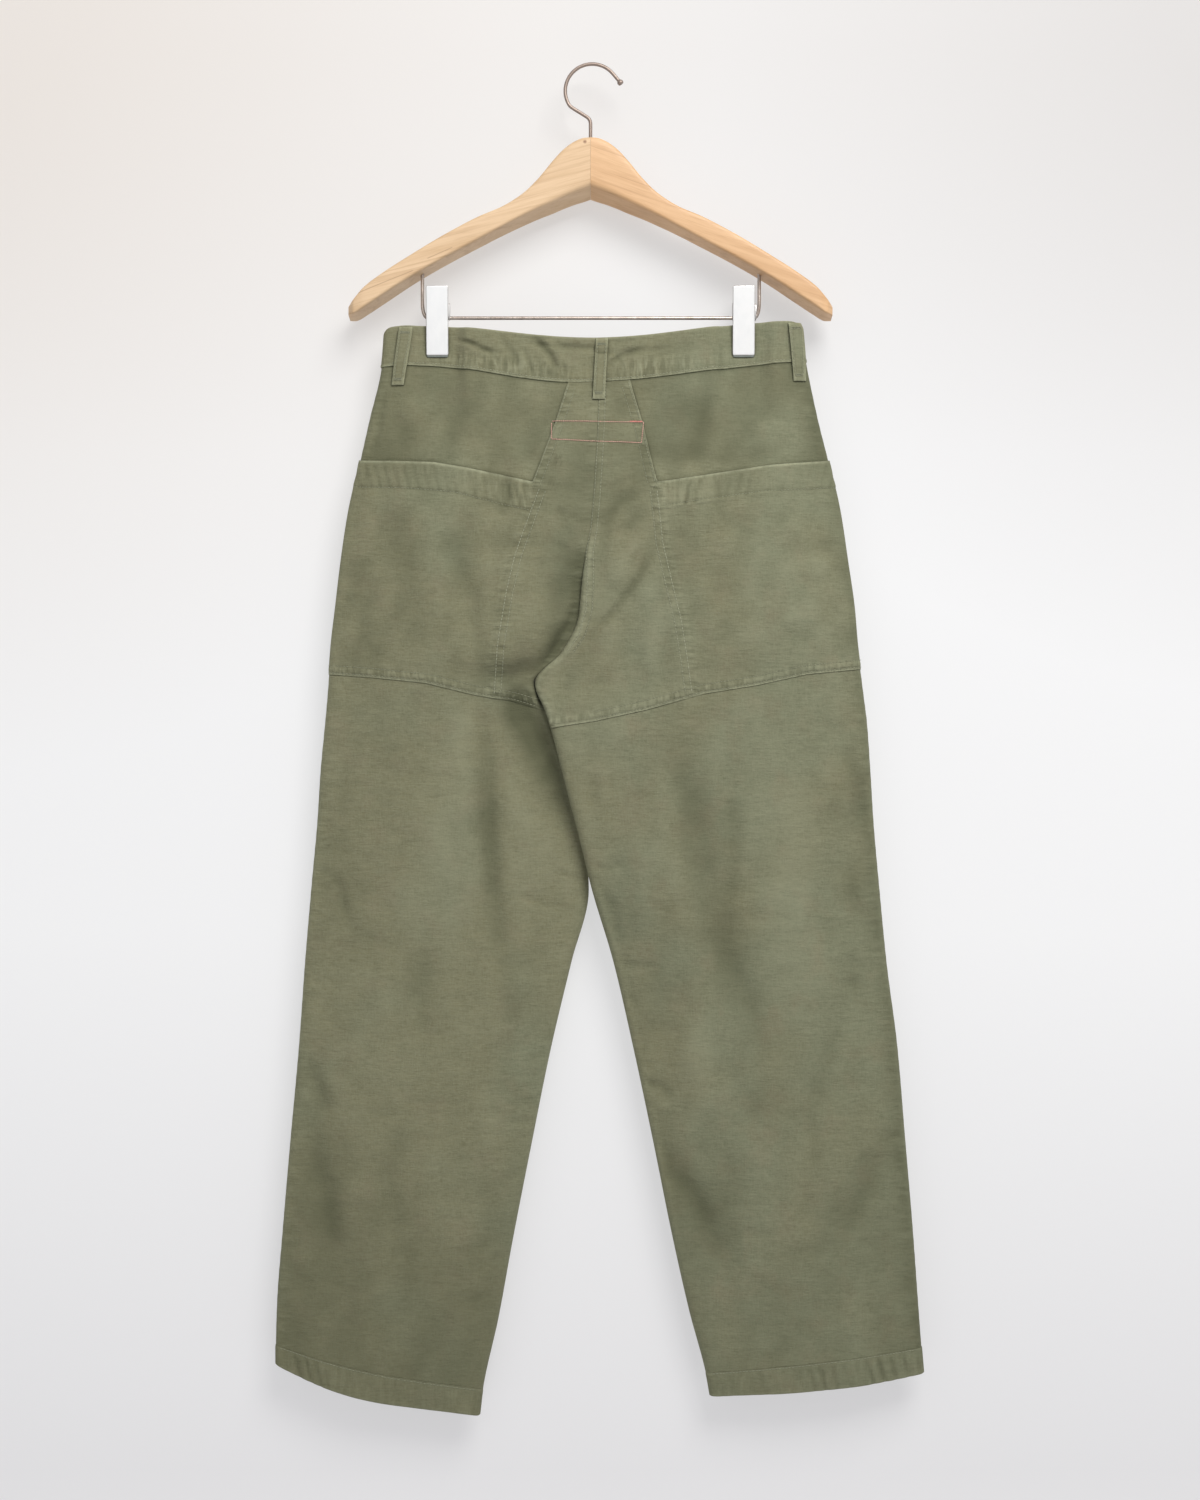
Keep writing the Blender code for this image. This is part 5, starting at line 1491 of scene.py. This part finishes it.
def cotton(name):
    """Faded cloth: greener to the right, woven and slubbed, pale where worn, with painted highlight on its
    ridges and painted shade in its folds and crevices.
    """
    n = Nodes(name)
    broad = n.noise((11, 11, 9), 2.0)
    patchy = n.noise((40, 40, 34), 3.0)
    across = n.new("SeparateXYZ", {"Vector": n.here()}).outputs["X"]
    greener = n.math("ADD", broad, n.ranged(across, -0.12, 0.20, -0.12, 0.14))
    colour = n.blend(n.ranged(greener, 0.38, 0.62), OLIVE, OLIVE_GREEN)
    colour = n.cover(colour, patchy, 0.52, 0.76, 0.75, OLIVE_BROWN)
    seen = {}
    for pattern, cells, detail, roughness, low, high, share, over in WEAVE:
        seen[pattern] = n.noise(cells, detail, roughness)
        colour = n.cover(colour, seen[pattern], low, high, share, over)
    wear = n.attribute("wear")
    # pale where worn, partly painted highlight on edges and pucker tops
    rough_wear = n.math("MULTIPLY", wear, n.ranged(n.noise((190, 190, 190), 3.0), 0.3, 0.65, 0.35, 1.15))
    colour = n.blend(n.ranged(rough_wear, 0.0, 1.0), colour, OLIVE_WORN_AND_HIGHLIGHT)
    # painted shade where the mesh's numbers fall below 0: lines under edges, in grooves and between puckers
    colour = n.cover(colour, wear, 0.0, -0.8, 0.9, OLIVE_PAINTED_SHADE)
    # painted shade in the folds and painted highlight on the ridges
    tone = n.attribute("tone")
    colour = n.cover(colour, tone, -0.06, -2.1, 0.9, OLIVE_DARK)
    colour = n.cover(colour, tone, 0.05, 1.0, 0.26, OLIVE_WORN_AND_HIGHLIGHT)
    colour, gathers = gathered(n, colour)
    # painted shade in crevices, from ambient occlusion
    crevice_shade = n.new("AmbientOcclusion", samples=6, Distance=0.005).outputs["AO"]
    colour = n.cover(colour, crevice_shade, 0.9, 0.35, 0.85, OLIVE_PAINTED_SHADE)
    normal = n.bump(n.math("ADD", seen["weft"], seen["warp"]), 0.5, 0.0004)
    normal = n.bump(seen["slub"], 0.6, 0.0006, normal)
    normal = n.bump(seen["speck"], 0.5, 0.0005, normal)
    normal = n.bump(n.noise((55, 55, 150), 4.0), 0.6, 0.0016, normal)
    normal = n.bump(gathers, 0.9, 0.0011, normal)
    n.to_shader(Base_Color=colour, Normal=normal, Roughness=n.ranged(seen["speck"], 0.3, 0.7, 0.82, 0.95))
    n.fixed(Specular_IOR_Level=0.2, Sheen_Weight=0.06, Sheen_Roughness=0.45,
            Sheen_Tint=(0.85, 0.88, 0.75, 1.0))
    return n.material


def gathered(n, colour):
    """Short puckers across a stitched seam, with painted highlight on top and painted shade between, and
    their height.
    """
    rises = []
    for name, cells in (("level", (230, 230, 48)), ("upright", (48, 48, 230))):
        amount = n.attribute(name)
        pucker = n.ranged(n.noise(cells, 1.5), 0.36, 0.64)
        high = n.math("MULTIPLY", amount, n.ranged(pucker, 0.55, 1.0, 0.0, 0.4))
        low = n.math("MULTIPLY", amount, n.ranged(pucker, 0.45, 0.0, 0.0, 0.5))
        colour = n.blend(high, colour, OLIVE_WORN_AND_HIGHLIGHT)
        colour = n.blend(low, colour, OLIVE_DARK)
        rises.append(n.math("MULTIPLY", amount, pucker))
    return colour, n.math("ADD", *rises)


def thread_colour(name, dull, bright):
    """Twisted thread. Each stitch's number on its mesh says how far it is from the dull to the bright
    colour.
    """
    n = Nodes(name)
    tint = n.attribute("wear")
    colour = n.blend(tint, dull, bright)
    twist = n.noise((2200, 2200, 2200), 2.0)
    colour = n.blend(n.ranged(twist, 0.35, 0.7, 0.0, 0.35), colour, tuple(0.55 * c for c in dull))
    n.to_shader(Base_Color=colour, Normal=n.bump(twist, 0.4, 0.0002))
    n.fixed(Roughness=0.75, Specular_IOR_Level=0.3, Sheen_Weight=0.2)
    return n.material


KNOT = (-0.0066, -0.0125, -0.0729)  # a small dark mark near the joint, in metres


def wood(name, pale, deep, streak, cracks=()):
    """Bands, lines and pores along the grain, a small knot, and cracks between (x, drop) points."""
    n = Nodes(name)
    grain = n.attribute("grain", "Vector")
    bands = n.noise((5.0, 90.0, 30.0), 4.0, 0.62, grain, 0.5)
    lines = n.noise((7.0, 420.0, 60.0), 2.0, 0.5, grain, 0.3)
    pores = n.noise((40.0, 900.0, 400.0), 3.0, 0.65, grain)
    broad = n.noise((9, 9, 9), 2.0)
    colour = n.cover(pale, bands, 0.36, 0.70, 0.8, deep)
    colour = n.cover(colour, lines, 0.54, 0.72, 0.42, streak)
    colour = n.cover(colour, pores, 0.5, 0.75, 0.35, streak)
    colour = n.cover(colour, broad, 0.4, 0.7, 0.3, pale)
    knot = n.vector("DISTANCE", n.here(), KNOT).outputs["Value"]
    colour = n.blend(n.ranged(knot, 0.0008, 0.0022, 0.85, 0.0), colour, (0.20, 0.09, 0.04))
    for start, end in cracks:
        crack = n.ranged(n.off_line(start, end), 0.00015, 0.0006, 0.5, 0.0)
        colour = n.blend(crack, colour, (0.26, 0.14, 0.07))
    normal = n.bump(pores, 0.25, 0.0003)
    n.to_shader(Base_Color=colour, Normal=normal, Roughness=n.ranged(pores, 0.3, 0.7, 0.42, 0.56))
    n.fixed(Specular_IOR_Level=0.4, Coat_Weight=0.15, Coat_Roughness=0.35)
    return n.material


def metal(name, colour, tint, roughness, metallic=1.0):
    """Brushed metal, mottled with a tint and duller at its rims."""
    n = Nodes(name)
    stain = n.noise((130, 130, 60), 3.0)
    brushed = n.noise((1800, 1800, 120), 2.0)
    rim = n.attribute("wear")
    plain = n.blend(n.ranged(stain, 0.4, 0.7), colour, tint)
    n.to_shader(
        Base_Color=n.blend(n.ranged(rim, 0.1, 1.0, 0.0, 0.75), plain, (0.20, 0.18, 0.165)),
        Roughness=n.ranged(brushed, 0.3, 0.7, roughness - 0.06, roughness + 0.08),
        Normal=n.bump(brushed, 0.03, 0.0001),
    )
    n.fixed(Metallic=metallic)
    return n.material


def horn(name, colour, streak):
    """A smooth swirled solid, for the button and the pads."""
    n = Nodes(name)
    swirl = n.noise((120, 120, 300), 4.0)
    mottled = n.blend(n.ranged(swirl, 0.4, 0.65), colour, streak)
    n.to_shader(Base_Color=mottled, Normal=n.bump(swirl, 0.1, 0.0003))
    n.fixed(Roughness=0.4, Specular_IOR_Level=0.45)
    return n.material


MATERIALS = {
    "olive_cotton": cotton("olive_cotton"),
    "pink_thread": thread_colour("pink_thread", (0.74, 0.42, 0.35), (0.92, 0.28, 0.25)),
    "olive_thread": thread_colour("olive_thread", (0.24, 0.245, 0.155), (0.46, 0.47, 0.34)),
    "pale_wood": wood("pale_wood", (0.70, 0.505, 0.32), (0.53, 0.345, 0.185), (0.38, 0.22, 0.105),
                      (((-218, 214), (-164, 191.6)), ((-150, 180), (-128, 170)))),
    "amber_wood": wood("amber_wood", (0.68, 0.435, 0.24), (0.52, 0.30, 0.145), (0.35, 0.18, 0.075)),
    "wire_steel": metal("wire_steel", (0.50, 0.43, 0.38), (0.36, 0.295, 0.25), 0.26, 0.7),
    "hook_steel": metal("hook_steel", (0.30, 0.235, 0.20), (0.25, 0.195, 0.165), 0.38, 0.5),
    "clip_metal": metal("clip_metal", (0.86, 0.86, 0.86), (0.82, 0.825, 0.83), 0.36, 0.35),
    "rubber_pad": horn("rubber_pad", (0.20, 0.22, 0.20), (0.15, 0.17, 0.15)),
    "button_horn": horn("button_horn", (0.10, 0.072, 0.045), (0.19, 0.14, 0.09)),
}


# ---- stage, camera and light ---------------------------------------------------------------------


# The backdrop glows a little, as a wall lit from all over a room does, which keeps its shadows soft.
WALL_PAINT = (0.30, 0.30, 0.303)
WALL_GLOW = (0.575, 0.575, 0.58)
WALL_GLOW_TOP = (0.50, 0.485, 0.475)
WALL_GLOW_LOW = (0.47, 0.465, 0.475)
WALL_CORNERS = (
    # place, reach in metres, glow
    ((-0.62, 0.0, 0.10), 0.75, (0.46, 0.405, 0.355)),
    ((0.66, 0.0, 0.12), 0.70, (0.33, 0.31, 0.30)),
)
BACKDROP_Y, FLOOR_DROP, COVE = 31.0, 1560.0, 260.0


def stage_surface(name, points, faces):
    """A plain pale surface, seen only from its own side, so that other views aren't blocked."""
    mesh = bpy.data.meshes.new(name)
    mesh.from_pydata([tuple(c * MM for c in p) for p in points], [], faces)
    mesh.polygons.foreach_set("use_smooth", np.ones(len(faces), bool))
    made = bpy.data.objects.new(name, mesh)
    bpy.context.scene.collection.objects.link(made)
    n = Nodes(name)
    where = n.here()
    flat = n.new("Mapping", {"Vector": where}, Scale=(1.0, 0.0, 1.0)).outputs["Vector"]
    height = n.new("SeparateXYZ", {"Vector": where}).outputs["Z"]
    glow = n.blend(n.ranged(height, -0.35, 0.02), WALL_GLOW, WALL_GLOW_TOP)
    glow = n.blend(n.ranged(height, -0.80, -1.30), glow, WALL_GLOW_LOW)
    for corner, reach, colour in WALL_CORNERS:
        away = n.vector("DISTANCE", flat, corner).outputs["Value"]
        glow = n.blend(n.ranged(away, 0.15, reach, 0.8, 0.0), glow, colour)
    n.to_shader(Emission_Color=glow)
    n.fixed(Base_Color=(*WALL_PAINT, 1.0), Roughness=0.9, Specular_IOR_Level=0.1, Emission_Strength=1.0)
    output = next(node for node in n.tree.nodes if node.type == "OUTPUT_MATERIAL")
    clear = n.new("BsdfTransparent")
    side = n.new("NewGeometry").outputs["Backfacing"]
    both = n.new("MixShader", {0: side, 1: n.shader.outputs["BSDF"], 2: clear.outputs["BSDF"]})
    n.tree.links.new(both.outputs["Shader"], output.inputs["Surface"])
    made.data.materials.append(n.material)


def stage():
    profile = [(-3200.0, FLOOR_DROP)]
    for k in range(13):
        turn = math.pi / 2 * k / 12
        y = BACKDROP_Y - COVE + COVE * math.sin(turn)
        profile.append((y, FLOOR_DROP - COVE + COVE * math.cos(turn)))
    profile.append((BACKDROP_Y, -1500.0))
    points = [(x, y, -drop) for y, drop in profile for x in (-3500.0, 3500.0)]
    faces = [(2 * k, 2 * k + 1, 2 * k + 3, 2 * k + 2) for k in range(len(profile) - 1)]
    stage_surface("backdrop", points, faces)


def area_light(name, place, target, size, power, colour):
    light = bpy.data.lights.new(name, "AREA")
    light.shape = "RECTANGLE"
    light.size, light.size_y = size
    light.energy = power
    light.color = colour
    made = bpy.data.objects.new(name, light)
    made.location = place
    aim = np.array(target, float) - np.array(place, float)
    made.rotation_euler = look(aim)
    bpy.context.scene.collection.objects.link(made)


def look(aim):
    """Euler angles that turn a camera or light, which look down their own -Z, along aim."""
    return Vector(aim).to_track_quat("-Z", "Y").to_euler()


def lights():
    bpy.context.scene.view_settings.view_transform = "Standard"
    area_light("key", (0.65, -1.75, 1.1), (0.0, 0.0, -0.5), (1.3, 1.3), 59.5, (1.0, 0.985, 0.955))
    area_light("low", (0.2, -1.9, -1.9), (0.0, 0.0, -0.3), (1.6, 0.8), 32, (1.0, 0.98, 0.95))
    area_light("fill", (-0.9, -2.2, 0.5), (0.0, 0.0, -0.5), (2.2, 2.2), 11, (0.97, 0.985, 1.0))
    world = bpy.data.worlds.new("studio")
    world.use_nodes = True
    background = world.node_tree.nodes["Background"]
    background.inputs["Color"].default_value = (0.96, 0.98, 1.0, 1.0)
    background.inputs["Strength"].default_value = 0.24
    bpy.context.scene.world = world


def camera():
    data = bpy.data.cameras.new("view")
    data.sensor_width = 36.0
    data.lens = 36.0 * VIEW_DISTANCE / VIEW_HEIGHT
    data.clip_start, data.clip_end = 0.05, 30
    made = bpy.data.objects.new("view", data)
    made.location = (VIEW_X * MM, -VIEW_DISTANCE * MM, -VIEW_DROP * MM)
    made.rotation_euler = (math.pi / 2, 0, 0)
    bpy.context.scene.collection.objects.link(made)
    bpy.context.scene.camera = made


def main():
    camera()
    lights()
    stage()
    for side in SIDES:
        panel(side, "back")
        panel(side, "front")
        seat_patch(side)
        waistband_front(side)
        hem(side)
        hanger_arm(side)
        clip(side)
    waistband_back()
    for row in BELT_LOOPS:
        belt_loop(*row)
    fly_flap()
    waist_button()
    sew_all()
    hanger_hook()
    clip_bar()


main()
